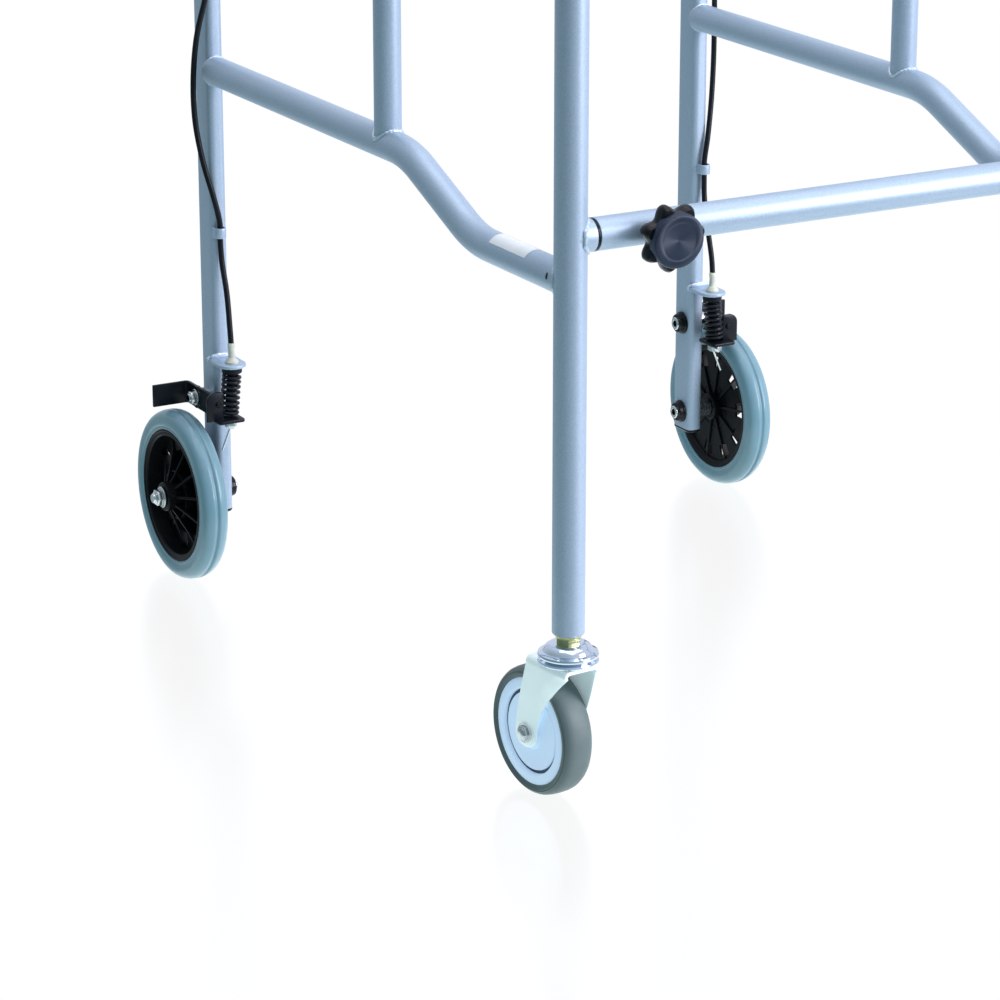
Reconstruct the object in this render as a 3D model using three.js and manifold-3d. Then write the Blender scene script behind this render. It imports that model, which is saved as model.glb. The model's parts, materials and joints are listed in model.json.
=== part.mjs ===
// A four-wheeled walking frame with underarm supports, in millimetres, +Z up.
// Front (the swivel casters) faces -Y, the open rear faces +Y, and the origin lies on the floor,
// midway between the side frames. The right side frame is modelled, and the left one is its mirror image.
import * as THREE from 'three';
import { mergeVertices } from 'three/addons/utils/BufferGeometryUtils.js';
import Module from 'manifold-3d';

const wasm = await Module();
wasm.setup();

// ---------------------------------------------------------------- driving dimensions
const TRACK = 490; // between the centre planes of the two side frames
const WHEELBASE = 620; // front leg to rear leg
const FRONT_Y = -328; // centre of the front legs
const REAR_Y = FRONT_Y + WHEELBASE; // centre of the rear legs
const GUIDE_Y = FRONT_Y + 286; // centre of the upright guide tubes
const GAP = 0.3; // clearance between pieces that touch
const BOLT_HOLE_R = 4.6; // holes for 8 mm bolts and studs

const TUBE_R = 12.5; // frame tube
const TUBE_WALL = 1.5;
const TOP_RAIL_Z = 880;
const TOP_BEND_R = 70;
const FRONT_LEG_FOOT_Z = 138;

const LOWER_RAIL_Z = 455; // rear stretch of the lower rail
const LOWER_RAIL_DROP = 45; // how much lower the front stretch runs
const RAIL_BEND_REAR_Y = FRONT_Y + 250;
const RAIL_BEND_FRONT_Y = FRONT_Y + 141;
const RAIL_BEND_R = 110;

const REAR_LEG = { width: 15, depth: 30, corner: 5.5, wall: 1.5, foot: 60 };
const LEG_SIDE = REAR_LEG.width / 2; // half thickness of the rear leg, across the frame
const LEG_FACE = REAR_LEG.depth / 2; // half depth of the rear leg, fore and aft

const GUIDE = { outer: 11, inner: 10, top: 960, knobZ: 935 };
const POST_R = 9.5;
const POST_WALL = 1.5;
const POST_FOOT_Z = 700;
const SADDLE = { z: 1176, length: 140, width: 46, thickness: 4, corner: 12 };
const PAD = { halfWidth: 30, halfBase: 78, halfTop: 118, baseThickness: 30, height: 62, dip: 16 };

const REAR_WHEEL = { radius: 76, rim: 59, width: 24, offset: 36 };
const REAR_HUB = { boss: 13, inboard: 22.5, outboard: 55, bore: 5.7 };
const AXLE_END = 65; // outboard end of the rear axle nut, from the leg's centre plane

const PIVOT_Z = 163; // brake arm pivot
const ARM = { inner: 17, outer: 20, bottom: 153, top: 173, shoeY: 22, shoeEnd: 52.5, front: -38 };
const ARM_TAB = { inboard: -4, front: -50, rear: -24 }; // under the spring
const ARM_FLANGE = { from: 12, to: 28, top: 177, corner: 6 }; // faces the front, beside the spring
const SPRING = { x: 2, y: REAR_Y - 37, bottom: 153, top: 198, radius: 7.3, wire: 1.2, turns: 6.5 };
const BRACKET = { radius: 12.5, thickness: 3 };

const CASTER = { radius: 51, rim: 42, width: 28, trail: 33, yaw: THREE.MathUtils.degToRad(6) };
const FORK = { inner: 15, outer: 17.5, front: -18, rear: 32, crown: 113, crownTop: 116, tip: 12 };
const RACEWAY = { radius: 23.3, middle: 120, top: 127 };

const GRIP = { start: GUIDE_Y + 94, end: GUIDE_Y + 214, radius: 17 };
const LEVER_PIVOT = { y: GUIDE_Y + 78, z: TOP_RAIL_Z - 30 };
const CLIP_Z = 314; // cable loop on the rear leg
const CLIP_Y = REAR_Y - LEG_FACE - 4.5;

const CROSSBAR_Z = { lower: 443, upper: 780 };
const CROSSBAR = { collarEnd: -229, mouth: -225.5, innerEnd: 150, bushingEnd: -195 };
const WIDTH_KNOB_X = -175;
const WIDTH_KNOB_TILT = Math.PI / 30; // the width knobs point a little downward, about their crossbar's axis
const KNOB = {
  star: 26, waist: 21, lobes: 7, phase: 0.13, cap: 21.6, back: 20, front: 31, face: 37.8, stud: 4,
};

const TUBE_FACETS = 12;
const WHEEL_FACETS = 24;
const SMALL_FACETS = 10;

// ---------------------------------------------------------------- materials
function finish(color, roughness, metalness) {
  return new THREE.MeshStandardMaterial({ color, roughness, metalness });
}

const framePaint = finish(0xa3b2d6, 0.35, 0.6);
const zinc = finish(0xdfe6ea, 0.3, 0.9);
const blackSteel = finish(0x17181c, 0.45, 0.4);
const blackPlastic = finish(0x1a1c22, 0.4, 0);
const foam = finish(0x24262a, 0.9, 0);
const vinyl = finish(0x2b2d33, 0.6, 0);
const tyreBlue = finish(0x7fa5bd, 0.35, 0);
const tyreGrey = finish(0x6f7479, 0.7, 0);
const hubGrey = finish(0xb4c0e2, 0.5, 0);

// ---------------------------------------------------------------- geometry helpers
/** Positions only, shared vertices merged, faces pointing out. */
function closed(geometry) {
  const bare = geometry.clone();
  bare.deleteAttribute('normal');
  bare.deleteAttribute('uv');
  const merged = mergeVertices(bare, 1e-4);
  return volume(merged) < 0 ? flipped(merged) : merged;
}

function volume(geometry) {
  const position = geometry.getAttribute('position');
  const [a, b, c] = [new THREE.Vector3(), new THREE.Vector3(), new THREE.Vector3()];
  let total = 0;
  for (let i = 0; i < geometry.index.count; i += 3) {
    a.fromBufferAttribute(position, geometry.index.getX(i));
    b.fromBufferAttribute(position, geometry.index.getX(i + 1));
    c.fromBufferAttribute(position, geometry.index.getX(i + 2));
    total += a.dot(b.cross(c)) / 6;
  }
  return total;
}

function flipped(geometry) {
  const index = Array.from(geometry.index.array);
  for (let i = 0; i < index.length; i += 3) {
    [index[i + 1], index[i + 2]] = [index[i + 2], index[i + 1]];
  }
  geometry.setIndex(index);
  return geometry;
}

function mirroredInX(geometry) {
  return flipped(geometry.clone().scale(-1, 1, 1));
}

function toSolid(geometry) {
  const shape = closed(geometry);
  return new wasm.Manifold(
    new wasm.Mesh({
      numProp: 3,
      vertProperties: new Float32Array(shape.getAttribute('position').array),
      triVerts: new Uint32Array(shape.index.array),
    }),
  );
}

function fromSolid(solid) {
  const mesh = solid.getMesh();
  const geometry = new THREE.BufferGeometry();
  geometry.setAttribute('position', new THREE.BufferAttribute(new Float32Array(mesh.vertProperties), 3));
  geometry.setIndex(Array.from(mesh.triVerts));
  return geometry;
}

function join(...geometries) {
  return fromSolid(geometries.map(toSolid).reduce((sum, piece) => sum.add(piece)));
}

function cut(geometry, ...tools) {
  return fromSolid(tools.map(toSolid).reduce((rest, tool) => rest.subtract(tool), toSolid(geometry)));
}

/** The radius of a faceted cutter whose flats lie `radius` from its axis. */
const around = (radius, facets = TUBE_FACETS) => radius / Math.cos(Math.PI / facets);

function cylinder(axis, radius, from, to, facets = TUBE_FACETS) {
  const geometry = new THREE.CylinderGeometry(radius, radius, to - from, facets);
  geometry.translate(0, (from + to) / 2, 0);
  return turnTo(axis, geometry);
}

/** A body of revolution: profile points are [radius, distance along the axis]. */
function lathe(axis, profile, facets = TUBE_FACETS) {
  const points = profile.map(([radius, along]) => new THREE.Vector2(radius, along));
  return turnTo(axis, new THREE.LatheGeometry(points, facets));
}

/** A profile that doesn't reach the axis, closed on itself. */
const latheRing = (axis, profile, facets) => lathe(axis, [...profile, profile[0]], facets);

/** A wheel's ring about the X axis, standing on one of its flats. */
const wheelRing = (profile) => latheRing('x', profile, WHEEL_FACETS).rotateX(Math.PI / WHEEL_FACETS);

function turnTo(axis, geometry) {
  if (axis === 'x') geometry.rotateZ(-Math.PI / 2);
  if (axis === 'z') geometry.rotateX(Math.PI / 2);
  return geometry;
}

function box(x, y, z) {
  const geometry = new THREE.BoxGeometry(x[1] - x[0], y[1] - y[0], z[1] - z[0]);
  return geometry.translate((x[0] + x[1]) / 2, (y[0] + y[1]) / 2, (z[0] + z[1]) / 2);
}

function hexagon(axis, acrossFlats, from, to) {
  return cylinder(axis, acrossFlats / 2 / Math.cos(Math.PI / 6), from, to, 6);
}

function extrude(shape, from, to, curveSegments = 6) {
  const geometry = new THREE.ExtrudeGeometry(shape, { depth: to - from, bevelEnabled: false, curveSegments });
  return geometry.translate(0, 0, from);
}

/** Extrudes a shape drawn in (y, z) along +X. */
function extrudeX(shape, from, to, curveSegments) {
  const basis = new THREE.Matrix4().makeBasis(
    new THREE.Vector3(0, 1, 0),
    new THREE.Vector3(0, 0, 1),
    new THREE.Vector3(1, 0, 0),
  );
  return extrude(shape, from, to, curveSegments).applyMatrix4(basis);
}

/** Extrudes a shape drawn in (x, z) towards -Y. */
function extrudeFront(shape, from, to, curveSegments) {
  return extrude(shape, from, to, curveSegments).rotateX(Math.PI / 2);
}

function roundSection(outer, inner) {
  const section = new THREE.Shape().absarc(0, 0, outer, 0, 2 * Math.PI, false);
  if (inner) section.holes.push(new THREE.Path().absarc(0, 0, inner, 0, 2 * Math.PI, true));
  return section;
}

function roundedRectangle(Outline, width, depth, corner) {
  const [x, y] = [width / 2 - corner, depth / 2 - corner];
  return new Outline()
    .absarc(x, y, corner, 0, Math.PI / 2, false)
    .absarc(-x, y, corner, Math.PI / 2, Math.PI, false)
    .absarc(-x, -y, corner, Math.PI, 1.5 * Math.PI, false)
    .absarc(x, -y, corner, 1.5 * Math.PI, 2 * Math.PI, false)
    .closePath();
}

/** Straight stretches joined by round bends, sampled once per straight and a few times per bend. */
class BentPath extends THREE.Curve {
  constructor(corners, bendRadius, bendSteps) {
    super();
    this.stations = [corners[0]];
    this.tangents = [corners[1].clone().sub(corners[0]).normalize()];
    for (let i = 1; i < corners.length - 1; i += 1) {
      this.addBend(corners[i - 1], corners[i], corners[i + 1], bendRadius, bendSteps);
    }
    this.stations.push(corners.at(-1));
    this.tangents.push(corners.at(-1).clone().sub(corners.at(-2)).normalize());
  }

  addBend(before, corner, after, radius, steps) {
    const into = corner.clone().sub(before).normalize();
    const out = after.clone().sub(corner).normalize();
    const angle = into.angleTo(out);
    const setback = radius * Math.tan(angle / 2);
    const start = corner.clone().addScaledVector(into, -setback);
    const side = out.clone().addScaledVector(into, -out.dot(into)).normalize();
    for (let step = 0; step <= steps; step += 1) {
      const turn = (angle * step) / steps;
      const along = radius * Math.sin(turn);
      const across = radius * (1 - Math.cos(turn));
      this.stations.push(start.clone().addScaledVector(into, along).addScaledVector(side, across));
      this.tangents.push(into.clone().multiplyScalar(Math.cos(turn)).addScaledVector(side, Math.sin(turn)));
    }
  }

  get steps() {
    return this.stations.length - 1;
  }

  getPointAt(u, target = new THREE.Vector3()) {
    return target.copy(this.stations[Math.round(u * this.steps)]);
  }

  getTangentAt(u, target = new THREE.Vector3()) {
    return target.copy(this.tangents[Math.round(u * this.steps)]);
  }
}

class Helix extends THREE.Curve {
  constructor(radius, from, to, turns) {
    super();
    Object.assign(this, { radius, from, to, turns });
  }

  getPoint(t, target = new THREE.Vector3()) {
    const angle = 2 * Math.PI * this.turns * t;
    const z = THREE.MathUtils.lerp(this.from, this.to, t);
    return target.set(this.radius * Math.cos(angle), this.radius * Math.sin(angle), z);
  }
}

const at = (x, y, z) => new THREE.Vector3(x, y, z);

function bentTube(corners, bendRadius, bendSteps) {
  const path = new BentPath(corners, bendRadius, bendSteps);
  return new THREE.ExtrudeGeometry(roundSection(TUBE_R, TUBE_R - TUBE_WALL), {
    extrudePath: path,
    steps: path.steps,
    curveSegments: TUBE_FACETS / 2,
    bevelEnabled: false,
  });
}

// ---------------------------------------------------------------- side frame tubes
const guideCutter = () =>
  cylinder('z', around(GUIDE.outer + GAP), TOP_RAIL_Z - 40, TOP_RAIL_Z + 40).translate(0, GUIDE_Y, 0);
const railCutter = (z, from, to) => cylinder('y', around(TUBE_R + GAP), from, to).translate(0, 0, z);

function frontLeg() {
  const corners = [
    at(0, FRONT_Y, FRONT_LEG_FOOT_Z),
    at(0, FRONT_Y, TOP_RAIL_Z),
    at(0, GUIDE_Y - 1, TOP_RAIL_Z),
  ];
  return cut(bentTube(corners, TOP_BEND_R, 6), guideCutter());
}

function lowerRail() {
  const frontZ = LOWER_RAIL_Z - LOWER_RAIL_DROP;
  const corners = [
    at(0, REAR_Y - LEG_FACE - GAP, LOWER_RAIL_Z),
    at(0, RAIL_BEND_REAR_Y, LOWER_RAIL_Z),
    at(0, RAIL_BEND_FRONT_Y, frontZ),
    at(0, FRONT_Y, frontZ),
  ];
  const legCutter = cylinder('z', around(TUBE_R + GAP), frontZ - 30, frontZ + 30).translate(0, FRONT_Y, 0);
  return cut(bentTube(corners, RAIL_BEND_R, 4), legCutter);
}

/** A threaded boss for a clamping knob, facing the front, and the drill for its stud. */
const knobBoss = (tubeRadius) => cylinder('y', 7.5, -tubeRadius - 4.5, -tubeRadius + 1, SMALL_FACETS);
const studDrill = (tubeRadius) => cylinder('y', BOLT_HOLE_R, -tubeRadius - 8, -tubeRadius + 3, SMALL_FACETS);

function guideTube() {
  const tube = extrude(roundSection(GUIDE.outer, GUIDE.inner), LOWER_RAIL_Z, GUIDE.top, TUBE_FACETS / 2);
  const boss = knobBoss(GUIDE.outer).translate(0, 0, GUIDE.knobZ);
  const bore = cylinder('z', GUIDE.inner, LOWER_RAIL_Z, GUIDE.top + 1);
  const solid = cut(join(tube, boss), bore, studDrill(GUIDE.outer).translate(0, 0, GUIDE.knobZ));
  return cut(solid.translate(0, GUIDE_Y, 0), railCutter(LOWER_RAIL_Z, GUIDE_Y - 20, GUIDE_Y + 20));
}

function topRail() {
  const [front, rear] = [GUIDE_Y + 1, REAR_Y + 34];
  const inner = TUBE_R - TUBE_WALL;
  const profile = [
    [0, rear], [7, rear - 1], [TUBE_R, rear - 6], [TUBE_R, front], [inner, front], [inner, rear - 8],
    [0, rear - 3],
  ];
  return cut(lathe('y', profile).translate(0, 0, TOP_RAIL_Z), guideCutter());
}

function rearLeg() {
  const { width, depth, corner, wall, foot } = REAR_LEG;
  const section = roundedRectangle(THREE.Shape, width, depth, corner);
  section.holes.push(roundedRectangle(THREE.Path, width - 2 * wall, depth - 2 * wall, corner - wall));
  const tube = extrude(section, foot, TOP_RAIL_Z, 3).translate(0, REAR_Y, 0);
  const loop = extrude(roundSection(5.2, 3.4), CLIP_Z - 5, CLIP_Z + 5, 6).translate(SPRING.x, CLIP_Y, 0);
  const boltHole = (z) => cylinder('x', BOLT_HOLE_R, -20, 20, SMALL_FACETS).translate(0, REAR_Y, z);
  const leg = cut(tube, railCutter(TOP_RAIL_Z, REAR_Y - 30, REAR_Y + 30), boltHole(PIVOT_Z));
  return join(cut(leg, boltHole(REAR_WHEEL.radius)), loop);
}

function rearLegPlug() {
  const { width, depth, corner, wall, foot } = REAR_LEG;
  const inset = 2 * (wall + GAP);
  const flange = extrude(roundedRectangle(THREE.Shape, width, depth, corner), foot - 3, foot - GAP, 3);
  const insert = roundedRectangle(THREE.Shape, width - inset, depth - inset, corner - wall - GAP);
  return join(flange, extrude(insert, foot - 1, foot + 9, 3)).translate(0, REAR_Y, 0);
}

// ---------------------------------------------------------------- hand grip and brake lever
function handGrip() {
  const { start, end, radius } = GRIP;
  const bore = around(TUBE_R + GAP);
  const profile = [
    [bore, start], [radius + 2, start], [radius + 2, start + 4], [radius, start + 8],
    [radius, end - 6], [radius - 2, end], [bore, end],
  ];
  return latheRing('y', profile).translate(0, 0, TOP_RAIL_Z);
}

function leverBracket() {
  const { y, z } = LEVER_PIVOT;
  const bore = around(TUBE_R + GAP);
  const clamp = latheRing('y', [[bore, y - 9], [17, y - 9], [17, y + 9], [bore, y + 9]]);
  clamp.translate(0, 0, TOP_RAIL_Z);
  const cheek = (from) => box([from, from + 3], [y - 14, y + 8], [z - 7, TOP_RAIL_Z - 14]);
  const pin = cylinder('x', 2.5, -9, 9, SMALL_FACETS).translate(0, y, z);
  const barrel = join(
    box([-6, 6], [y - 14, y - 9], [z - 7, TOP_RAIL_Z - 14.5]),
    cylinder('y', 4.5, y - 26, y - 10, SMALL_FACETS).translate(0, 0, z + 1),
  );
  return join(clamp, cheek(-9), cheek(6), pin, barrel);
}

function brakeLever() {
  const { y, z } = LEVER_PIVOT;
  const blade = new THREE.Shape();
  blade.moveTo(-5, 5);
  blade.absarc(0, 0, 6, Math.PI * 0.75, Math.PI * 1.35, false);
  blade.quadraticCurveTo(14, -14, 34, -20);
  blade.quadraticCurveTo(80, -31, 112, -24);
  blade.absarc(114, -19.5, 5, -Math.PI / 2, Math.PI / 2, false);
  blade.quadraticCurveTo(80, -23, 40, -13);
  blade.quadraticCurveTo(18, -7, 10, 4);
  blade.closePath();
  const hole = cylinder('x', around(2.5 + GAP, SMALL_FACETS), -10, 10, SMALL_FACETS).translate(0, y, z);
  return cut(extrudeX(blade, -5.5, 5.5, 4).translate(0, y, z), hole);
}

// ---------------------------------------------------------------- brake cable, bracket, spring and arm
/** The cable's route: from the adjuster up through the clip, outside the rail joint, to the lever bracket. */
const CABLE_ROUTE = [
  [2, REAR_Y - 37, 217.3], [2, REAR_Y - 35, 232], [1, REAR_Y - 28, 262], [1.6, REAR_Y - 21, 288],
  [2, CLIP_Y, CLIP_Z - 8], [2, CLIP_Y, CLIP_Z + 8], [6, REAR_Y - 18, 343], [13, REAR_Y - 12, 376],
  [17.5, REAR_Y - 7.5, 412], [18, REAR_Y - 7, 448], [15.5, REAR_Y - 10.5, 485], [11, REAR_Y - 20, 519],
  [9.5, REAR_Y - 36, 556], [8, REAR_Y - 60, 598], [6, REAR_Y - 98, 640], [4, REAR_Y - 150, 678],
  [2, REAR_Y - 205, 710], [1, REAR_Y - 250, 742], [0, REAR_Y - 279, 780], [0, REAR_Y - 290, 815],
];

function brakeCable() {
  const [exitY, exitZ] = [LEVER_PIVOT.y - 26 - GAP, LEVER_PIVOT.z + 1];
  const points = CABLE_ROUTE.map(([x, y, z]) => at(x, y, z));
  points.push(at(0, exitY - 7, exitZ - 1), at(0, exitY, exitZ));
  return new THREE.ExtrudeGeometry(roundSection(2.5), {
    extrudePath: new THREE.CatmullRomCurve3(points, false, 'centripetal'),
    steps: 38,
    curveSegments: 4,
    bevelEnabled: false,
  });
}

function brakeBracket() {
  const { radius, thickness } = BRACKET;
  const plate = new THREE.Shape();
  plate.moveTo(radius, REAR_Y - LEG_FACE - GAP - SPRING.y);
  plate.lineTo(-radius, REAR_Y - LEG_FACE - GAP - SPRING.y);
  plate.absarc(0, 0, radius, Math.PI, 2 * Math.PI, false);
  plate.closePath();
  plate.holes.push(new THREE.Path().absarc(0, 0, BOLT_HOLE_R, 0, 2 * Math.PI, true));
  return extrude(plate, SPRING.top, SPRING.top + thickness, 5).translate(SPRING.x, SPRING.y, 0);
}

/** A threaded sleeve through the bracket, with a conical lock nut under the cable's ferrule. */
function cableAdjuster() {
  const seat = SPRING.top + BRACKET.thickness + GAP;
  const [foot, nutTop, top] = [SPRING.top - 8, seat + 5, CABLE_ROUTE[0][2] - GAP];
  const profile = [
    [0, foot], [4, foot], [4, seat], [6, seat], [6, seat + 2], [3.2, nutTop], [3.2, top], [0, top],
  ];
  return lathe('z', profile).translate(SPRING.x, SPRING.y, 0);
}

function brakeSpring() {
  const { radius, wire, turns, bottom, top } = SPRING;
  const clear = wire + GAP;
  return new THREE.ExtrudeGeometry(roundSection(wire), {
    extrudePath: new Helix(radius, bottom + clear, top - clear, turns),
    steps: 6 * turns,
    curveSegments: 3,
    bevelEnabled: false,
  }).translate(SPRING.x, SPRING.y, 0);
}

/** One bent strap: a shoe over the tyre at the rear, a flange and a spring tab at the front. */
function brakeArm() {
  const { inner, outer, bottom, top, shoeY, shoeEnd, front } = ARM;
  const thickness = outer - inner;
  const plan = new THREE.Shape();
  plan.moveTo(inner, front);
  plan.lineTo(outer, front);
  plan.lineTo(outer, shoeY - thickness - 2);
  plan.absarc(outer + 2, shoeY - thickness - 2, 2, Math.PI, Math.PI / 2, true);
  plan.lineTo(shoeEnd, shoeY - thickness);
  plan.lineTo(shoeEnd, shoeY);
  plan.absarc(inner + 5, shoeY - 5, 5, Math.PI / 2, Math.PI, false);
  plan.closePath();
  const strap = extrude(plan, bottom, top, 4);
  const tab = box([ARM_TAB.inboard, outer], [ARM_TAB.front, ARM_TAB.rear], [bottom - thickness, bottom]);
  const { from, to, top: flangeTop, corner } = ARM_FLANGE;
  const face = new THREE.Shape();
  face.moveTo(from, bottom - 1);
  face.lineTo(to, bottom - 1);
  face.absarc(to - corner, flangeTop - corner, corner, 0, Math.PI / 2, false);
  face.lineTo(from, flangeTop);
  face.closePath();
  const flange = extrudeFront(face, -front - 1, thickness - front, 3);
  const pivotHole = cylinder('x', BOLT_HOLE_R, 0, 30, SMALL_FACETS).translate(0, 0, PIVOT_Z);
  return cut(join(strap, tab, flange), pivotHole).translate(0, REAR_Y, 0);
}

/** A bolt along X through the rear leg: its head and washer inboard, a spacer outboard, then its nut. */
function legBolt({ radius, spacerEnd, nutFrom, nutTo, washer, flats, end }) {
  const face = LEG_SIDE + GAP;
  const washerEnd = -face - 2;
  const profile = [
    [0, washerEnd - 5], [6.5, washerEnd - 5], [6.5, washerEnd], [washer, washerEnd], [washer, -face],
    [4, -face], [4, face], [8, face], [8, spacerEnd], [radius, spacerEnd], [radius, end], [0, end],
  ];
  return join(lathe('x', profile, SMALL_FACETS), hexagon('x', flats, nutFrom, nutTo));
}

function brakePivotBolt() {
  const dims = {
    radius: 4, spacerEnd: ARM.inner - GAP, nutFrom: ARM.outer + GAP, nutTo: ARM.outer + 6,
    washer: 11, flats: 12, end: ARM.outer + 8,
  };
  return legBolt(dims).translate(0, REAR_Y, PIVOT_Z);
}

function rearAxleBolt() {
  const dims = {
    radius: 5, spacerEnd: REAR_HUB.inboard - GAP, nutFrom: REAR_HUB.outboard + GAP, nutTo: AXLE_END - 2.5,
    washer: 11, flats: 17, end: AXLE_END,
  };
  return legBolt(dims).translate(0, REAR_Y, REAR_WHEEL.radius);
}

// ---------------------------------------------------------------- wheels
function rearHub() {
  const { offset, rim, width } = REAR_WHEEL;
  const { boss, inboard, outboard, bore } = REAR_HUB;
  const [near, far] = [offset - width / 2 + 2, offset + width / 2 - 1];
  const profile = [
    [bore, inboard], [boss, inboard], [boss, offset - 3], [50, offset - 5], [51, near], [rim, near],
    [rim, far], [52, far], [49, offset], [boss, offset], [boss, outboard], [bore, outboard],
  ];
  return wheelRing(profile).translate(0, REAR_Y, REAR_WHEEL.radius);
}

/** A tyre with rounded shoulders, centred on the plane x = offset; its flats lie on the tread's radius. */
function tyre({ radius, rim, width, offset = 0 }) {
  const half = width / 2;
  const tread = around(radius, WHEEL_FACETS);
  const side = (sign) => [
    [rim + GAP, sign * (half - 1)], [tread - 7, sign * half], [tread - 2.5, sign * (half - 2)],
    [tread, sign * (half - 7)],
  ];
  const profile = [...side(-1), ...side(1).reverse()];
  return wheelRing(profile.map(([r, x]) => [r, x + offset]));
}

function rearTyre() {
  return tyre(REAR_WHEEL).translate(0, REAR_Y, REAR_WHEEL.radius);
}

function casterStem() {
  const { radius, middle, top } = RACEWAY;
  const seat = middle + GAP;
  const shank = 10.6;
  const stemTop = FRONT_LEG_FOOT_Z + 26;
  const profile = [
    [0, FORK.crown - 6], [8.5, FORK.crown - 6], [8.5, FORK.crown - GAP], [5, FORK.crown - GAP], [5, seat],
    [radius - 2, seat], [radius, seat + 2], [radius, top - 3], [radius - 5, top], [shank, top],
    [shank, stemTop], [0, stemTop],
  ];
  const nut = hexagon('z', 20, top - 0.5, FRONT_LEG_FOOT_Z - GAP);
  return join(lathe('z', profile), nut).translate(0, FRONT_Y, 0);
}

/** The caster pieces below are drawn about the swivel axis, trailing towards +Y. */
function casterFork() {
  const { inner, outer, front, rear, crown, crownTop, tip } = FORK;
  const { radius, middle } = RACEWAY;
  const axleZ = CASTER.radius;
  const outline = new THREE.Shape();
  outline.moveTo(front, crownTop);
  outline.lineTo(front, crown - 6);
  outline.quadraticCurveTo(4, crown - 30, CASTER.trail - 10.5, axleZ - 5.5);
  outline.absarc(CASTER.trail, axleZ, tip, Math.PI * 1.2, Math.PI * 2, false);
  outline.lineTo(rear, crownTop);
  outline.closePath();
  const cheek = (from) => extrudeX(outline, from, from + outer - inner, 5);
  const bridge = box([-outer, outer], [front, rear], [crown, crownTop]);
  const cup = lathe('z', [
    [0, crownTop - 1], [17, crownTop - 1], [radius, crownTop + 1], [radius, middle - 2], [radius - 2, middle],
    [0, middle],
  ]);
  const kingpinHole = cylinder('z', 5.6, crown - 20, middle + 20, SMALL_FACETS);
  const axleHole = cylinder('x', 5, -30, 30, SMALL_FACETS).translate(0, CASTER.trail, axleZ);
  return cut(join(cheek(-outer), cheek(inner), bridge, cup), kingpinHole, axleHole);
}

function casterAxle() {
  const { outer } = FORK;
  const bolt = join(
    cylinder('x', 4.4, -outer - 1, outer + 1, SMALL_FACETS),
    hexagon('x', 13, -outer - 4, -outer - GAP),
    hexagon('x', 13, outer + GAP, outer + 4),
  );
  return bolt.translate(0, CASTER.trail, CASTER.radius);
}

function casterHub() {
  const { rim } = CASTER;
  const half = CASTER.width / 2;
  const side = (sign) => [
    [5.2, sign * half], [13, sign * half], [14, sign * (half - 4)], [32, sign * (half - 4)],
    [rim, sign * (half - 2)],
  ];
  const profile = [...side(-1), ...side(1).reverse()];
  return wheelRing(profile).translate(0, CASTER.trail, CASTER.radius);
}

const casterTyre = () => tyre(CASTER).translate(0, CASTER.trail, CASTER.radius);

// ---------------------------------------------------------------- underarm support
function supportPost() {
  const inner = POST_R - POST_WALL;
  const boreTop = SADDLE.z - 4;
  const profile = [
    [0, SADDLE.z], [POST_R, SADDLE.z], [POST_R, POST_FOOT_Z], [inner, POST_FOOT_Z], [inner, boreTop],
    [0, boreTop],
  ];
  const saddle = extrude(
    roundedRectangle(THREE.Shape, SADDLE.width, SADDLE.length, SADDLE.corner),
    SADDLE.z - 1,
    SADDLE.z + SADDLE.thickness,
    3,
  );
  return join(lathe('z', profile), saddle).translate(0, GUIDE_Y, 0);
}

/** The armpit pad: flat under the saddle plate, dished along its top. */
function underarmPad() {
  const { halfWidth, halfBase, halfTop, baseThickness, height, dip } = PAD;
  const side = new THREE.Shape();
  side.moveTo(-halfBase, 0);
  side.lineTo(halfBase, 0);
  side.quadraticCurveTo(halfTop, 4, halfTop, height - baseThickness);
  side.quadraticCurveTo(halfTop, height, halfTop - 24, height - 2);
  side.quadraticCurveTo(0, height - 2 * dip, -(halfTop - 24), height - 2);
  side.quadraticCurveTo(-halfTop, height, -halfTop, height - baseThickness);
  side.quadraticCurveTo(-halfTop, 4, -halfBase, 0);
  const pad = extrudeX(side, -halfWidth, halfWidth, 6);
  return pad.translate(0, GUIDE_Y, SADDLE.z + SADDLE.thickness + GAP);
}

// ---------------------------------------------------------------- crossbars and knobs
/** A star knob facing the front; the tube that it clamps has its axis at y = 0. */
function starKnob(tubeRadius, clampedRadius) {
  const reach = tubeRadius - TUBE_R;
  const star = new THREE.Shape();
  const points = KNOB.lobes * 4;
  const swing = (KNOB.star - KNOB.waist) / 2;
  for (let i = 0; i < points; i += 1) {
    const angle = (2 * Math.PI * i) / points;
    const radius = KNOB.star - swing * (1 - Math.cos(KNOB.lobes * angle));
    const turn = angle + KNOB.phase;
    star[i ? 'lineTo' : 'moveTo'](radius * Math.cos(turn), radius * Math.sin(turn));
  }
  star.closePath();
  const body = extrudeFront(star, KNOB.back + reach, KNOB.front + reach);
  const cap = cylinder('y', KNOB.cap, -KNOB.face - reach, -KNOB.front - reach + 1, WHEEL_FACETS);
  const stud = cylinder('y', KNOB.stud, -KNOB.back - reach - 2, -clampedRadius - GAP, SMALL_FACETS);
  return join(body, cap, stud);
}

const legCopeCutter = (x) => cylinder('z', around(TUBE_R + GAP), -30, 30).translate(x, 0, 0);

function crossbarInner() {
  const { collarEnd, innerEnd } = CROSSBAR;
  const [bore, root] = [POST_R - POST_WALL, 1 - TRACK / 2];
  const profile = [
    [bore, root], [TUBE_R, root], [TUBE_R, collarEnd], [POST_R, collarEnd], [POST_R, innerEnd],
    [bore, innerEnd],
  ];
  return cut(latheRing('x', profile), legCopeCutter(-TRACK / 2));
}

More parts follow.
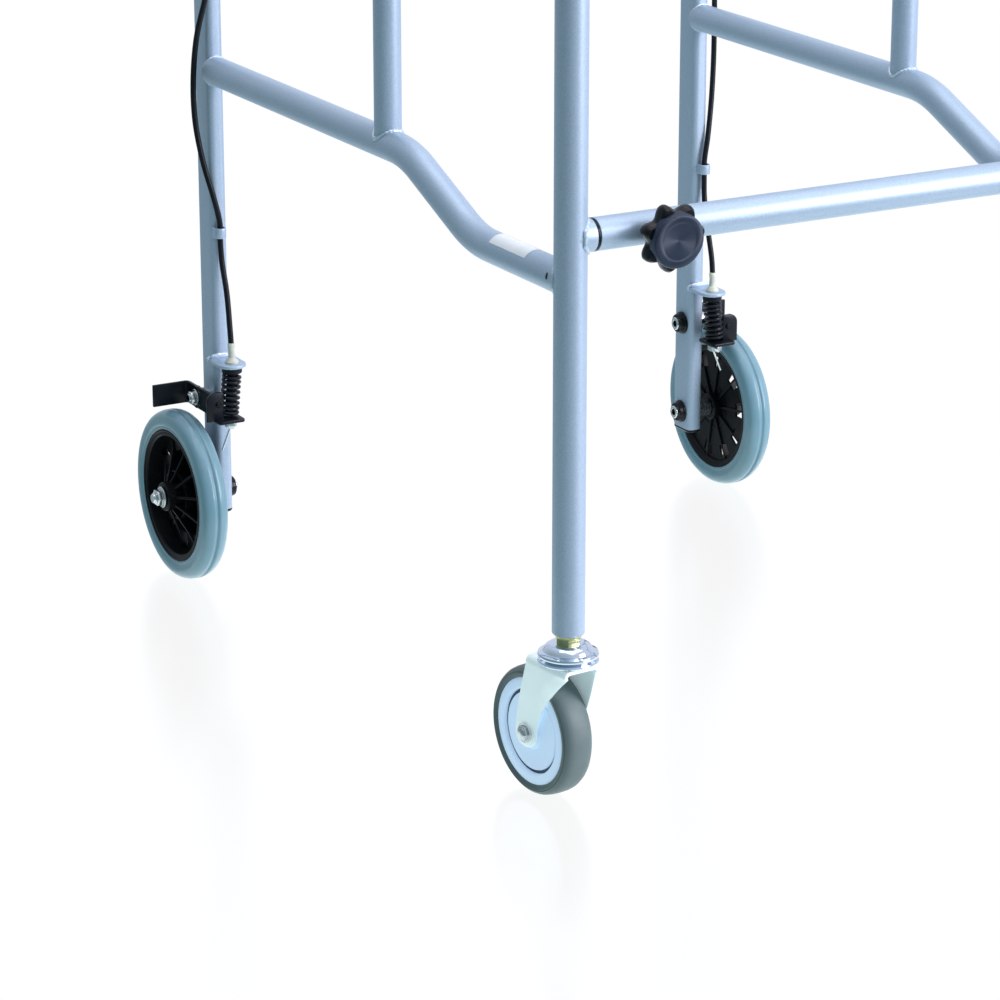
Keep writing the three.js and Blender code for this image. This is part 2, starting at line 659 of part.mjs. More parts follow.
function crossbarOuter() {
  const inner = TUBE_R - TUBE_WALL;
  const profile = [
    [inner, CROSSBAR.mouth], [TUBE_R, CROSSBAR.mouth], [TUBE_R, TRACK / 2 - 1], [inner, TRACK / 2 - 1],
  ];
  const boss = knobBoss(TUBE_R).rotateX(WIDTH_KNOB_TILT).translate(WIDTH_KNOB_X, 0, 0);
  const bore = cylinder('x', inner, CROSSBAR.mouth - 1, 0);
  const drill = studDrill(TUBE_R).rotateX(WIDTH_KNOB_TILT).translate(WIDTH_KNOB_X, 0, 0);
  return cut(join(latheRing('x', profile), boss), bore, drill, legCopeCutter(TRACK / 2));
}

function crossbarBushing() {
  const { collarEnd, mouth, bushingEnd } = CROSSBAR;
  const [bore, sleeve] = [10, 10.6];
  const profile = [
    [bore, collarEnd + GAP], [TUBE_R, collarEnd + GAP], [TUBE_R, mouth - GAP], [sleeve, mouth - GAP],
    [sleeve, bushingEnd], [bore, bushingEnd],
  ];
  return latheRing('x', profile);
}

// ---------------------------------------------------------------- assembly
const walkingFrame = new THREE.Group();
const rightFrame = new THREE.Group();
const leftFrame = new THREE.Group();
rightFrame.position.x = TRACK / 2;
leftFrame.position.x = -TRACK / 2;
walkingFrame.add(rightFrame, leftFrame);

function place(parent, name, geometry, material, position = at(0, 0, 0)) {
  const mesh = new THREE.Mesh(geometry, material);
  mesh.name = name;
  mesh.position.copy(position);
  parent.add(mesh);
}

/** Adds a piece to the right side frame and its mirror image to the left one. */
function bothSides(name, geometry, material, groups = { right: rightFrame, left: leftFrame }) {
  const piece = closed(geometry);
  place(groups.right, `${name}_right`, piece, material);
  place(groups.left, `${name}_left`, mirroredInX(piece), material);
}

bothSides('front_leg', frontLeg(), framePaint);
bothSides('lower_rail', lowerRail(), framePaint);
bothSides('guide_tube', guideTube(), framePaint);
bothSides('top_rail', topRail(), framePaint);
bothSides('rear_leg', rearLeg(), framePaint);
bothSides('rear_leg_plug', rearLegPlug(), blackPlastic);
bothSides('hand_grip', handGrip(), foam);
bothSides('lever_bracket', leverBracket(), blackSteel);
bothSides('brake_lever', brakeLever(), blackSteel);
bothSides('brake_cable', brakeCable(), blackPlastic);
bothSides('brake_bracket', brakeBracket(), framePaint);
bothSides('cable_adjuster', cableAdjuster(), zinc);
bothSides('brake_spring', brakeSpring(), blackSteel);
bothSides('brake_arm', brakeArm(), blackSteel);
bothSides('brake_pivot_bolt', brakePivotBolt(), zinc);
bothSides('rear_axle_bolt', rearAxleBolt(), zinc);
bothSides('rear_hub', rearHub(), blackPlastic);
bothSides('rear_tyre', rearTyre(), tyreBlue);
bothSides('caster_stem', casterStem(), zinc);
bothSides('support_post', supportPost(), zinc);
bothSides('underarm_pad', underarmPad(), vinyl);

// The casters trail a little outboard at rest.
const casters = { right: new THREE.Group(), left: new THREE.Group() };
casters.right.rotation.z = -CASTER.yaw;
casters.left.rotation.z = CASTER.yaw;
for (const [side, frame] of [['right', rightFrame], ['left', leftFrame]]) {
  casters[side].position.y = FRONT_Y;
  frame.add(casters[side]);
}
bothSides('caster_fork', casterFork(), zinc, casters);
bothSides('caster_axle', casterAxle(), zinc, casters);
bothSides('caster_hub', casterHub(), hubGrey, casters);
bothSides('caster_tyre', casterTyre(), tyreGrey, casters);

const heightKnob = starKnob(GUIDE.outer, POST_R).translate(0, GUIDE_Y, GUIDE.knobZ);
bothSides('height_knob', heightKnob, blackPlastic);

for (const [level, z] of Object.entries(CROSSBAR_Z)) {
  const centre = at(0, FRONT_Y, z);
  place(walkingFrame, `crossbar_inner_${level}`, closed(crossbarInner()), framePaint, centre);
  place(walkingFrame, `crossbar_outer_${level}`, closed(crossbarOuter()), framePaint, centre);
  place(walkingFrame, `crossbar_bushing_${level}`, closed(crossbarBushing()), blackPlastic, centre);
  const knobCentre = at(WIDTH_KNOB_X, FRONT_Y, z);
  const knob = closed(starKnob(TUBE_R, POST_R)).rotateX(WIDTH_KNOB_TILT);
  place(walkingFrame, `width_knob_${level}`, knob, blackPlastic, knobCentre);
}

export default walkingFrame;
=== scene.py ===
"""Looks of the walking frame: tubes, welds, wheels, brakes, knobs and padded supports around its CAD frame.

Local shapes are drawn in millimetres. A side frame's local x runs outboard from its legs' centre plane, and its
y and z are the row's own. `publish` turns them into metres and mirrors them for the left side.
"""

import json
import math

import bmesh
import bpy
from mathutils import Matrix, Vector


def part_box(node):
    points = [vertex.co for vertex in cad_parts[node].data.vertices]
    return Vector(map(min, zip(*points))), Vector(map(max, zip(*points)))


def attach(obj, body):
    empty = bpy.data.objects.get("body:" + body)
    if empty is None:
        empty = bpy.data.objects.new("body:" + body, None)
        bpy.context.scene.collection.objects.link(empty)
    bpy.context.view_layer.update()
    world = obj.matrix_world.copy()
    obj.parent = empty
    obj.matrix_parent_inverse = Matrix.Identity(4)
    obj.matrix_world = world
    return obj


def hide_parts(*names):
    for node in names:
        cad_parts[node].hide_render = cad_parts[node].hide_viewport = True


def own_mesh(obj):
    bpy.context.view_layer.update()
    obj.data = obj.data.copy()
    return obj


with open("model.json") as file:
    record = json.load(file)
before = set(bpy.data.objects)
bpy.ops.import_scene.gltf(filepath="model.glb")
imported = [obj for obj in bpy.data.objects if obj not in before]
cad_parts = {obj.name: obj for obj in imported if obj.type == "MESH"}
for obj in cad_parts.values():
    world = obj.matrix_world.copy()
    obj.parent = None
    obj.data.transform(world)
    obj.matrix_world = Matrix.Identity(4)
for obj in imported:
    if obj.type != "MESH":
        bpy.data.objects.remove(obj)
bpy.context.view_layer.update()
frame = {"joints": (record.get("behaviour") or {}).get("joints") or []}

MM = 0.001
TAU = 2 * math.pi

# ---------------------------------------------------------------- places, from the frame
JOINTS = {joint["name"]: joint for joint in frame["joints"]}


def pivot(name):
    """A joint's place in millimetres."""
    return Vector(JOINTS[name]["pos_m"]) / MM


def box_mm(node):
    low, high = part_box(node)
    return low / MM, high / MM


TRACK = pivot("caster_swivel_right").x  # half the distance between the side frames
FRONT_Y = pivot("caster_swivel_right").y
REAR_Y = pivot("rear_spin_right").y
GUIDE_Y, GUIDE_KNOB_Z = pivot("height_knob_turn_right").yz
LEVER_Y, LEVER_Z = pivot("brake_lever_turn_right").yz
PIVOT_Z = pivot("brake_arm_turn_right").z
AXLE_Z = pivot("rear_spin_right").z
WHEEL_X = pivot("rear_spin_right").x - TRACK
CASTER_Z = pivot("caster_spin_right").z
CASTER_TRAIL = math.hypot(*(pivot("caster_spin_right") - pivot("caster_swivel_right")).xy)
CASTER_YAW = math.asin(-JOINTS["caster_spin_right"]["axis"][1])

TUBE_R = (box_mm("crossbar_outer_lower")[1].z - box_mm("crossbar_outer_lower")[0].z) / 2
TUBE_WALL = 1.5
LEG_FOOT_Z = box_mm("front_leg_right")[0].z
TOP_RAIL_Z = box_mm("front_leg_right")[1].z - TUBE_R
TOP_BEND_R = 70
RAIL_Z = box_mm("lower_rail_right")[1].z - TUBE_R
RAIL_DROP = 45
RAIL_BENDS = (FRONT_Y + 250, FRONT_Y + 141)
RAIL_BEND_R = 110
LEG_SIDE, LEG_FACE = 7.5, 15  # half sizes of the rear leg's flat-oval section
REAR_FOOT_Z = box_mm("rear_leg_right")[0].z
GUIDE_R = 11
GUIDE_TOP = box_mm("guide_tube_right")[1].z
POST_R = 9.5
POST_FOOT_Z = box_mm("support_post_right")[0].z
SADDLE_TOP = box_mm("support_post_right")[1].z
CLIP_Y, CLIP_Z = REAR_Y - LEG_FACE - 4.5, 314
SPRING_X, SPRING_Y = 2, REAR_Y - 37
SPRING_LOW, SPRING_HIGH = 153, 198
CROSSBAR_Z = {"lower": pivot("width_knob_turn_lower").z, "upper": pivot("width_knob_turn_upper").z}
KNOB_X = pivot("width_knob_turn_lower").x
KNOB_TILT = math.degrees(math.asin(-JOINTS["width_knob_turn_lower"]["axis"][2]))

# ---------------------------------------------------------------- camera, lights and floor
scene = bpy.context.scene


def aim(obj, place, target):
    obj.location = place
    obj.rotation_euler = (Vector(target) - Vector(place)).to_track_quat("-Z", "Y").to_euler()
    scene.collection.objects.link(obj)
    return obj


def softbox(name, place, target, size, watts, color):
    light = bpy.data.lights.new(name, "AREA")
    light.shape = "RECTANGLE"
    light.size, light.size_y = size
    light.energy = watts
    light.color = color
    aim(bpy.data.objects.new(name, light), place, target)


def studio_walls():
    """A world that is dim on the left and grows bright to the right, behind and above."""
    world = bpy.data.worlds.new("studio")
    world.use_nodes = True
    nodes, links = world.node_tree.nodes, world.node_tree.links
    background = nodes["Background"]
    direction = nodes.new("ShaderNodeTexCoord")
    along = nodes.new("ShaderNodeVectorMath")
    along.operation = "DOT_PRODUCT"
    along.inputs[1].default_value = (0.80, 0.22, 0.56)
    spread = nodes.new("ShaderNodeMapRange")
    spread.interpolation_type = "SMOOTHSTEP"
    spread.inputs["From Min"].default_value = -0.75
    spread.inputs["From Max"].default_value = 0.75
    tone = nodes.new("ShaderNodeMix")
    tone.data_type = "RGBA"
    tone.inputs[6].default_value = (0.21, 0.32, 0.34, 1)
    tone.inputs[7].default_value = (0.92, 0.97, 1.08, 1)
    links.new(direction.outputs["Generated"], along.inputs[0])
    links.new(along.outputs["Value"], spread.inputs["Value"])
    links.new(spread.outputs["Result"], tone.inputs[0])
    links.new(tone.outputs[2], background.inputs["Color"])
    background.inputs["Strength"].default_value = 0.85
    return world


def build_studio():
    camera = bpy.data.cameras.new("camera")
    camera.lens = 135.45
    camera.sensor_width = 36
    camera.clip_end = 1000
    view = (-1.574055, -2.613513, 1.115343), (-0.131151, -0.018, 0.135386)
    scene.camera = aim(bpy.data.objects.new("camera", camera), *view)

    softbox("key", (2.5, -3.1, 1.7), (0, 0, 0.5), (1.7, 3.0), 165, (1.0, 0.96, 1.03))
    softbox("top", (0.2, -0.3, 3.4), (0, 0, 0.5), (3.2, 3.2), 56, (1.0, 0.98, 1.0))
    softbox("bounce", (0, 0, -0.6), (0, 0, 0.5), (3.0, 3.0), 24, (0.94, 1.0, 1.0))
    scene.world = studio_walls()
    scene.view_settings.view_transform = "Standard"

    bpy.ops.mesh.primitive_grid_add(x_subdivisions=8, y_subdivisions=8, size=300)
    floor = bpy.context.object
    floor.name = "floor"
    material = bpy.data.materials.new("white_floor")
    material.use_nodes = True
    nodes, links = material.node_tree.nodes, material.node_tree.links
    nodes.clear()
    glow = nodes.new("ShaderNodeEmission")
    glow.inputs["Color"].default_value = (1, 1, 1, 1)
    glow.inputs["Strength"].default_value = 1.09
    gloss = nodes.new("ShaderNodeBsdfGlossy")
    gloss.inputs["Roughness"].default_value = 0.22
    mix = nodes.new("ShaderNodeMixShader")
    mix.inputs["Fac"].default_value = 0.17
    output = nodes.new("ShaderNodeOutputMaterial")
    links.new(glow.outputs[0], mix.inputs[1])
    links.new(gloss.outputs[0], mix.inputs[2])
    links.new(mix.outputs[0], output.inputs["Surface"])
    floor.data.materials.append(material)
    floor.visible_diffuse = False
    floor.visible_shadow = False
    floor.visible_glossy = False


# ---------------------------------------------------------------- materials
class Surface:
    """A Principled material whose colour, roughness and relief come from a few procedural layers."""

    def __init__(self, name, color, roughness, metallic=0.0, **sockets):
        self.material = bpy.data.materials.new(name)
        self.material.use_nodes = True
        self.nodes = self.material.node_tree.nodes
        self.links = self.material.node_tree.links
        self.shader = self.nodes["Principled BSDF"]
        self.place = self.node("ShaderNodeTexCoord").outputs["Object"]
        self.color = color
        self.set(roughness=roughness, metallic=metallic, **sockets)
        self.shader.inputs["Base Color"].default_value = (*color, 1)

    def node(self, kind, **settings):
        node = self.nodes.new(kind)
        for key, value in settings.items():
            setattr(node, key, value)
        return node

    def set(self, **sockets):
        for key, value in sockets.items():
            self.shader.inputs[key.replace("_", " ").title().replace("Ior", "IOR")].default_value = value

    def noise(self, scale, detail=3.0, stretch=(1, 1, 1)):
        """Noise with `scale` features in a metre."""
        mapping = self.node("ShaderNodeMapping")
        mapping.inputs["Scale"].default_value = stretch
        noise = self.node("ShaderNodeTexNoise")
        noise.inputs["Scale"].default_value = scale
        noise.inputs["Detail"].default_value = detail
        self.links.new(self.place, mapping.inputs["Vector"])
        self.links.new(mapping.outputs["Vector"], noise.inputs["Vector"])
        return noise.outputs["Fac"]

    def ramp(self, value, low, high, low_at=0.35, high_at=0.65):
        ramp = self.node("ShaderNodeValToRGB")
        first, last = ramp.color_ramp.elements
        first.position, last.position = low_at, high_at
        first.color, last.color = (*low, 1), (*high, 1)
        self.links.new(value, ramp.inputs["Fac"])
        return ramp.outputs["Color"]

    def tint(self, value, darker, low_at=0.35, high_at=0.65):
        """The colour varies between itself and a darker or lighter share of itself."""
        shade = tuple(channel * darker for channel in self.color)
        self.links.new(self.ramp(value, shade, self.color, low_at, high_at), self.shader.inputs["Base Color"])
        return self

    def roughen(self, value, low, high):
        spread = self.node("ShaderNodeMapRange")
        spread.inputs["To Min"].default_value = low
        spread.inputs["To Max"].default_value = high
        self.links.new(value, spread.inputs["Value"])
        self.links.new(spread.outputs["Result"], self.shader.inputs["Roughness"])
        return self

    def relief(self, value, depth, strength=0.5):
        """Bump of `depth` metres."""
        bump = self.node("ShaderNodeBump")
        bump.inputs["Distance"].default_value = depth
        bump.inputs["Strength"].default_value = strength
        self.links.new(value, bump.inputs["Height"])
        previous = self.shader.inputs["Normal"].links
        if previous:
            self.links.new(previous[0].from_socket, bump.inputs["Normal"])
        self.links.new(bump.outputs["Normal"], self.shader.inputs["Normal"])
        return self


def noise_surface(color, roughness, metallic, tint, roughen, relief=None, name="", **sockets):
    """Tint is (scale, detail, share), roughen (scale, low, high), relief (scale, detail, depth, strength)."""
    surface = Surface(name, color, roughness, metallic, **sockets)
    scale, detail, darker = tint
    surface.tint(surface.noise(scale, detail), darker)
    scale, low, high = roughen
    surface.roughen(surface.noise(scale), low, high)
    if relief:
        scale, detail, depth, strength = relief
        surface.relief(surface.noise(scale, detail), depth, strength)
    return surface.material


def chrome():
    steel = Surface("chrome", (0.46, 0.48, 0.52), 0.2, 1.0)
    streaks = steel.noise(160, 2, (1, 1, 0.04))
    return steel.tint(steel.noise(25), 0.93).roughen(streaks, 0.14, 0.26).material


def knob_disc():
    disc = Surface("knob_disc", (0.020, 0.032, 0.062), 0.44, 0.3, anisotropic=0.85)
    tangent = disc.node("ShaderNodeTangent", direction_type="RADIAL", axis="Y")
    disc.links.new(tangent.outputs["Tangent"], disc.shader.inputs["Tangent"])
    return disc.tint(disc.noise(60), 0.8).roughen(disc.noise(200), 0.36, 0.5).material


def pad_vinyl():
    vinyl = Surface("pad_vinyl", (0.022, 0.024, 0.030), 0.48)
    cells = vinyl.node("ShaderNodeTexVoronoi")
    cells.inputs["Scale"].default_value = 620
    vinyl.links.new(vinyl.place, cells.inputs["Vector"])
    vinyl.tint(vinyl.noise(14), 0.7).roughen(vinyl.noise(25), 0.4, 0.58)
    return vinyl.relief(cells.outputs["Distance"], 0.0005, 0.55).material


# name: (slot, colour, roughness, metallic, tint, roughen, relief, other sockets)
NOISE_SURFACES = {
    "frame_paint": ("frame_paint", (0.42, 0.53, 0.67), 0.42, 0.42, (900, 2, 0.86), (35, 0.38, 0.5),
                    (260, 2, 0.0002, 0.12), {"coat_weight": 0.1, "coat_roughness": 0.28}),
    # The welds carry the frame's own paint, drawn lighter than frame_paint: a painted highlight on the beads.
    "weld_painted_highlight": ("frame_paint", (0.54, 0.65, 0.76), 0.34, 0.4, (300, 3, 0.85), (120, 0.3, 0.48),
                   (380, 3, 0.0008, 0.5), {"coat_weight": 0.3, "coat_roughness": 0.15}),
    # The fork's zinc plating: its emission is a painted glow that lightens the fork beyond what the lamps give.
    "zinc_plate_painted_glow": ("zinc_steel", (0.86, 0.98, 1.0), 0.34, 0.3, (60, 3, 0.93), (90, 0.28, 0.42),
                   (700, 3, 0.0001, 0.15), {"emission_color": (0.85, 1.0, 1.0, 1), "emission_strength": 0.16}),
    "bright_zinc": ("zinc_steel", (0.70, 0.78, 0.90), 0.1, 1.0, (60, 3, 0.92), (90, 0.05, 0.14),
                    (700, 3, 0.0001, 0.1), {}),
    "yellow_zinc": ("zinc_steel", (0.52, 0.54, 0.27), 0.3, 0.9, (120, 3, 0.75), (150, 0.22, 0.42), None, {}),
    "bright_steel": ("zinc_steel", (0.72, 0.75, 0.76), 0.24, 1.0, (90, 3, 0.8), (200, 0.16, 0.34),
                     (900, 3, 0.0001, 0.2), {}),
    "black_coat": ("black_steel", (0.005, 0.008, 0.014), 0.34, 0.0, (80, 3, 0.6), (60, 0.24, 0.42),
                   (420, 4, 0.0004, 0.25), {"specular_ior_level": 0.24}),
    "black_plastic": ("black_plastic", (0.003, 0.004, 0.006), 0.28, 0.0, (40, 3, 0.65), (70, 0.18, 0.36),
                      (900, 2, 0.0001, 0.15), {"specular_ior_level": 0.26}),
    "hub_black": ("black_plastic", (0.003, 0.004, 0.006), 0.4, 0.0, (40, 3, 0.65), (70, 0.34, 0.48),
                  (900, 2, 0.0001, 0.15), {"specular_ior_level": 0.14}),
    "cable_housing": ("cable_housing", (0.004, 0.006, 0.010), 0.35, 0.0, (30, 3, 0.7), (50, 0.28, 0.45),
                      (500, 3, 0.0002, 0.2), {"specular_ior_level": 0.24}),
    "grip_rubber": ("grip_foam", (0.020, 0.020, 0.023), 0.75, 0.0, (120, 3, 0.6), (60, 0.65, 0.85),
                    (1400, 2, 0.0004, 0.6), {}),
    "piping_vinyl": ("pad_vinyl", (0.030, 0.032, 0.038), 0.42, 0.0, (200, 3, 0.7), (90, 0.35, 0.52), None, {}),
    "tyre_blue": ("tyre_blue", (0.165, 0.315, 0.39), 0.34, 0.0, (18, 3, 0.9), (45, 0.28, 0.42),
                  (300, 2, 0.0002, 0.12), {"subsurface_weight": 0.12, "subsurface_scale": 0.004,
                                           "coat_weight": 0.3, "coat_roughness": 0.14}),
    "tyre_grey": ("tyre_grey", (0.115, 0.162, 0.166), 0.42, 0.0, (26, 3, 0.8), (80, 0.42, 0.62),
                  (600, 3, 0.0002, 0.25), {}),
    # The caster hub's emission is a painted glow that lightens it beyond what the lamps give.
    "hub_grey": ("hub_grey", (0.60, 0.78, 0.98), 0.42, 0.0, (30, 3, 0.93), (60, 0.36, 0.5),
                 (800, 2, 0.0001, 0.15), {"emission_color": (0.64, 0.80, 1.0, 1), "emission_strength": 0.27}),
    # A dark ring on the floor of the caster hub's groove: painted shade in the groove.
    "groove_painted_shade": ("hub_grey", (0.045, 0.065, 0.10), 0.5, 0.0, (80, 3, 0.8), (90, 0.45, 0.6), None, {}),
    "ivory_plastic": ("black_plastic", (0.62, 0.64, 0.56), 0.36, 0.0, (160, 3, 0.82), (140, 0.28, 0.46),
                      (700, 3, 0.0001, 0.2), {}),
    "label_film": ("hub_grey", (0.86, 0.88, 0.92), 0.35, 0.0, (50, 3, 0.93), (90, 0.28, 0.42), None,
                   {"coat_weight": 0.3, "coat_roughness": 0.1}),
}
MATERIALS = {"chrome": chrome(), "knob_disc": knob_disc(), "pad_vinyl": pad_vinyl()}
for surface_name, (surface_slot, *recipe, others) in NOISE_SURFACES.items():
    MATERIALS[surface_name] = noise_surface(*recipe, name=surface_name, **others)


# ---------------------------------------------------------------- mesh helpers
def ring_frames(path, closed=False):
    """Two unit vectors across the path at each of its points, turned as little as possible."""
    count = len(path)
    tangents = []
    for i, point in enumerate(path):
        before = path[i - 1] if i or closed else point
        after = path[(i + 1) % count] if i < count - 1 or closed else point
        tangents.append((after - before).normalized())
    helper = Vector((1, 0, 0)) if abs(tangents[0].x) < 0.9 else Vector((0, 0, 1))
    side = (helper - tangents[0] * helper.dot(tangents[0])).normalized()
    frames = []
    for tangent in tangents:
        side = (side - tangent * side.dot(tangent)).normalized()
        frames.append((side.copy(), tangent.cross(side)))
    return frames


def add_rings(bm, rings, closed_path=False):
    """Joins rings of points, each closed on itself, into a skin. Returns the rings' vertices."""
    rows = [[bm.verts.new(point) for point in ring] for ring in rings]
    pairs = list(zip(rows, rows[1:])) + ([(rows[-1], rows[0])] if closed_path else [])
    for low, high in pairs:
        for i in range(len(low)):
            j = (i + 1) % len(low)
            bm.faces.new((low[i], low[j], high[j], high[i]))
    return rows


def swept(path, section, closed=False):
    """A solid bar along a path. The section lists (across, up) points, or is a function of the path's index."""
    bm = bmesh.new()
    points = section if callable(section) else lambda i: section
    rings = []
    for i, (center, (side, up)) in enumerate(zip(path, ring_frames(path, closed))):
        rings.append([center + side * a + up * b for a, b in points(i)])
    rows = add_rings(bm, rings, closed)
    if not closed:
        bm.faces.new(reversed(rows[0]))
        bm.faces.new(rows[-1])
    return tidy(bm)


def tube(path, outer, wall=TUBE_WALL, facets=40, lip=0.4):
    """A hollow round tube with open ends, whose rims are slightly rounded."""
    bm = bmesh.new()
    frames = ring_frames(path)

    def ring(i, radius, shift=0.0):
        side, up = frames[i]
        center = path[i] + side.cross(up) * shift
        return [center + (side * math.cos(TAU * k / facets) + up * math.sin(TAU * k / facets)) * radius
                for k in range(facets)]

    last = len(path) - 1
    rounds = [(lip * (1 - math.sin(t)), lip * (1 - math.cos(t))) for t in (math.radians(15 * k) for k in range(7))]
    rings = [ring(0, outer - inset, rise) for rise, inset in reversed(rounds)]
    rings += [ring(i, outer) for i in range(1, last)]
    rings += [ring(last, outer - inset, -rise) for rise, inset in rounds] + [ring(last, outer - wall)]
    rings += [ring(i, outer - wall) for i in range(last - 1, 0, -1)] + [ring(0, outer - wall)]
    add_rings(bm, rings, closed_path=True)
    return tidy(bm)


def circle(radius, facets=12):
    return [(radius * math.cos(TAU * k / facets), radius * math.sin(TAU * k / facets)) for k in range(facets)]


def revolved(axis, profile, facets=48, start=0.0):
    """A body of revolution about a line through the origin. The profile lists (radius, distance along)."""
    bm = bmesh.new()
    basis = {"x": Matrix(((0, 0, 1), (1, 0, 0), (0, 1, 0))), "y": Matrix(((0, 1, 0), (0, 0, 1), (1, 0, 0))),
             "z": Matrix.Identity(3)}[axis]
    closed = profile[0][0] > 0
    rows = []
    for radius, along in profile:
        if radius > 0:
            angles = [start + TAU * k / facets for k in range(facets)]
            ring = [Vector((radius * math.cos(angle), radius * math.sin(angle), along)) for angle in angles]
        else:
            ring = [Vector((0, 0, along))]
        rows.append([bm.verts.new(basis @ point) for point in ring])
    pairs = list(zip(rows, rows[1:])) + ([(rows[-1], rows[0])] if closed else [])
    for low, high in pairs:
        for k in range(facets):
            n = (k + 1) % facets
            corners = [low[k % len(low)], low[n % len(low)], high[n % len(high)], high[k % len(high)]]
            kept = [v for i, v in enumerate(corners) if v not in corners[:i]]
            if len(kept) > 2:
                bm.faces.new(kept)
    return tidy(bm)


def slab(outline, low, high, axis="z", round_off=0.0, steps=2):
    """A plate: an outline of (a, b) points, extruded along an axis, with its rims rounded."""
    turn = {"x": lambda a, b, c: (c, a, b), "y": lambda a, b, c: (a, c, b), "z": lambda a, b, c: (a, b, c)}[axis]
    bm = bmesh.new()
    bottom = [bm.verts.new(turn(a, b, low)) for a, b in outline]
    top = [bm.verts.new(turn(a, b, high)) for a, b in outline]
    bm.faces.new(bottom)
    bm.faces.new(top)
    for i in range(len(outline)):
        j = (i + 1) % len(outline)
        bm.faces.new((bottom[i], bottom[j], top[j], top[i]))
    tidy(bm)
    return soften(bm, round_off, steps) if round_off else bm


def tidy(bm):
    bmesh.ops.recalc_face_normals(bm, faces=bm.faces)
    return bm


def soften(bm, width, steps=2, angle=35):
    """Rounds the edges that turn by more than `angle` degrees."""
    edges = [e for e in bm.edges if e.is_manifold and e.calc_face_angle() > math.radians(angle)]
    bmesh.ops.bevel(bm, geom=edges, offset=width, segments=steps, profile=0.5, affect="EDGES", clamp_overlap=True)
    return bm


def moved(bm, x=0.0, y=0.0, z=0.0):
    bmesh.ops.translate(bm, verts=bm.verts, vec=(x, y, z))
    return bm


def turned(bm, axis, degrees):
    bmesh.ops.rotate(bm, verts=bm.verts, cent=(0, 0, 0), matrix=Matrix.Rotation(math.radians(degrees), 3, axis))
    return bm


def merged(*pieces):
    """One mesh that holds several closed shells."""
    whole = pieces[0]
    for piece in pieces[1:]:
        mesh = bpy.data.meshes.new("part")
        piece.to_mesh(mesh)
        piece.free()
        whole.from_mesh(mesh)
        bpy.data.meshes.remove(mesh)
    return whole


def arc(a, b, radius, start, end, steps=8):
    """Points on an arc about (a, b), with angles in degrees."""
    angles = [math.radians(start + (end - start) * i / steps) for i in range(steps + 1)]
    return [(a + radius * math.cos(t), b + radius * math.sin(t)) for t in angles]


def rounded_rectangle(width, depth, corner, steps=8):
    a, b = width / 2 - corner, depth / 2 - corner
    return (arc(a, b, corner, 0, 90, steps) + arc(-a, b, corner, 90, 180, steps)
            + arc(-a, -b, corner, 180, 270, steps) + arc(a, -b, corner, 270, 360, steps))


def hexagon(across):
    return circle(across / 2 / math.cos(math.pi / 6), 6)


def curve_points(controls, steps):
    """A smooth curve through control points, centripetal Catmull-Rom."""
    ends = [controls[0] * 2 - controls[1], *controls, controls[-1] * 2 - controls[-2]]
    points = []
    for p0, p1, p2, p3 in zip(ends, ends[1:], ends[2:], ends[3:]):
        knots = [0.0]
        for a, b in ((p0, p1), (p1, p2), (p2, p3)):
            knots.append(knots[-1] + max((b - a).length, 1e-6) ** 0.5)
        for step in range(steps):
            t = knots[1] + (knots[2] - knots[1]) * step / steps
            layer = [p0, p1, p2, p3]
            for depth in (1, 2, 3):
                # Barry and Goldman's pyramid: spans grow by one knot until the middle one is left.
                spans = [(0, 1), (1, 2), (2, 3)] if depth == 1 else [(0, 2), (1, 3)] if depth == 2 else [(1, 2)]
                layer = [layer[i] * ((knots[hi] - t) / (knots[hi] - knots[lo]))
                         + layer[i + 1] * ((t - knots[lo]) / (knots[hi] - knots[lo]))
                         for i, (lo, hi) in enumerate(spans)]
            points.append(layer[0])
    points.append(controls[-1])
    return points


def bent_path(corners, radius, steps=14, stride=60):
    """Straight stretches joined by round bends."""
    path = [corners[0]]
    for before, corner, after in zip(corners, corners[1:], corners[2:]):
        into, out = (corner - before).normalized(), (after - corner).normalized()
        angle = into.angle(out)
        start = corner - into * radius * math.tan(angle / 2)
        side = (out - into * out.dot(into)).normalized()
        for step in range(steps + 1):
            turn = angle * step / steps
            path.append(start + into * radius * math.sin(turn) + side * radius * (1 - math.cos(turn)))
    path.append(corners[-1])
    filled = [path[0]]
    for point in path[1:]:
        gap = point - filled[-1]
        cuts = int(gap.length // stride)
        filled += [filled[-1] + gap * (k / (cuts + 1)) for k in range(1, cuts + 1)]
        filled.append(point)
    return filled


def weld_bead(points, radius=1.05):
    """A rippled fillet along a closed line."""
    ripples = max(12, round(len(points) / 4))

    def section(i):
        share = i / len(points)
        swell = radius * (1 + 0.12 * math.sin(TAU * ripples * share) + 0.16 * math.sin(TAU * 5 * share + 1))
        return circle(swell, 8)

    return swept(points, section, closed=True)


def saddle_line(center, along, radius, main, main_radius, facets=96):
    """Where a round branch, running `along` from a main tube's axis, meets that tube."""
    main = main.normalized()
    along = along.normalized()
    side = main.cross(along).normalized()
    up = along.cross(side)
    points = []
    for k in range(facets):
        a = radius * math.cos(TAU * k / facets)
        b = radius * math.sin(TAU * k / facets)
        reach = math.sqrt(max(main_radius**2 - a**2, 25.0))
        points.append(center + side * a + up * b + along * reach)
    return points


# ---------------------------------------------------------------- publishing pieces
def make_object(name, bm, matrix, materials, sharp=32):
    mesh = bpy.data.meshes.new(name)
    bmesh.ops.transform(bm, matrix=matrix, verts=bm.verts)
    if matrix.determinant() < 0:
        bmesh.ops.reverse_faces(bm, faces=bm.faces)
    bm.to_mesh(mesh)
    mesh.shade_smooth()
    mesh.set_sharp_from_angle(angle=math.radians(sharp))
    obj = bpy.data.objects.new(name, mesh)
    scene.collection.objects.link(obj)
    for material in materials:
        mesh.materials.append(MATERIALS[material])
    return obj


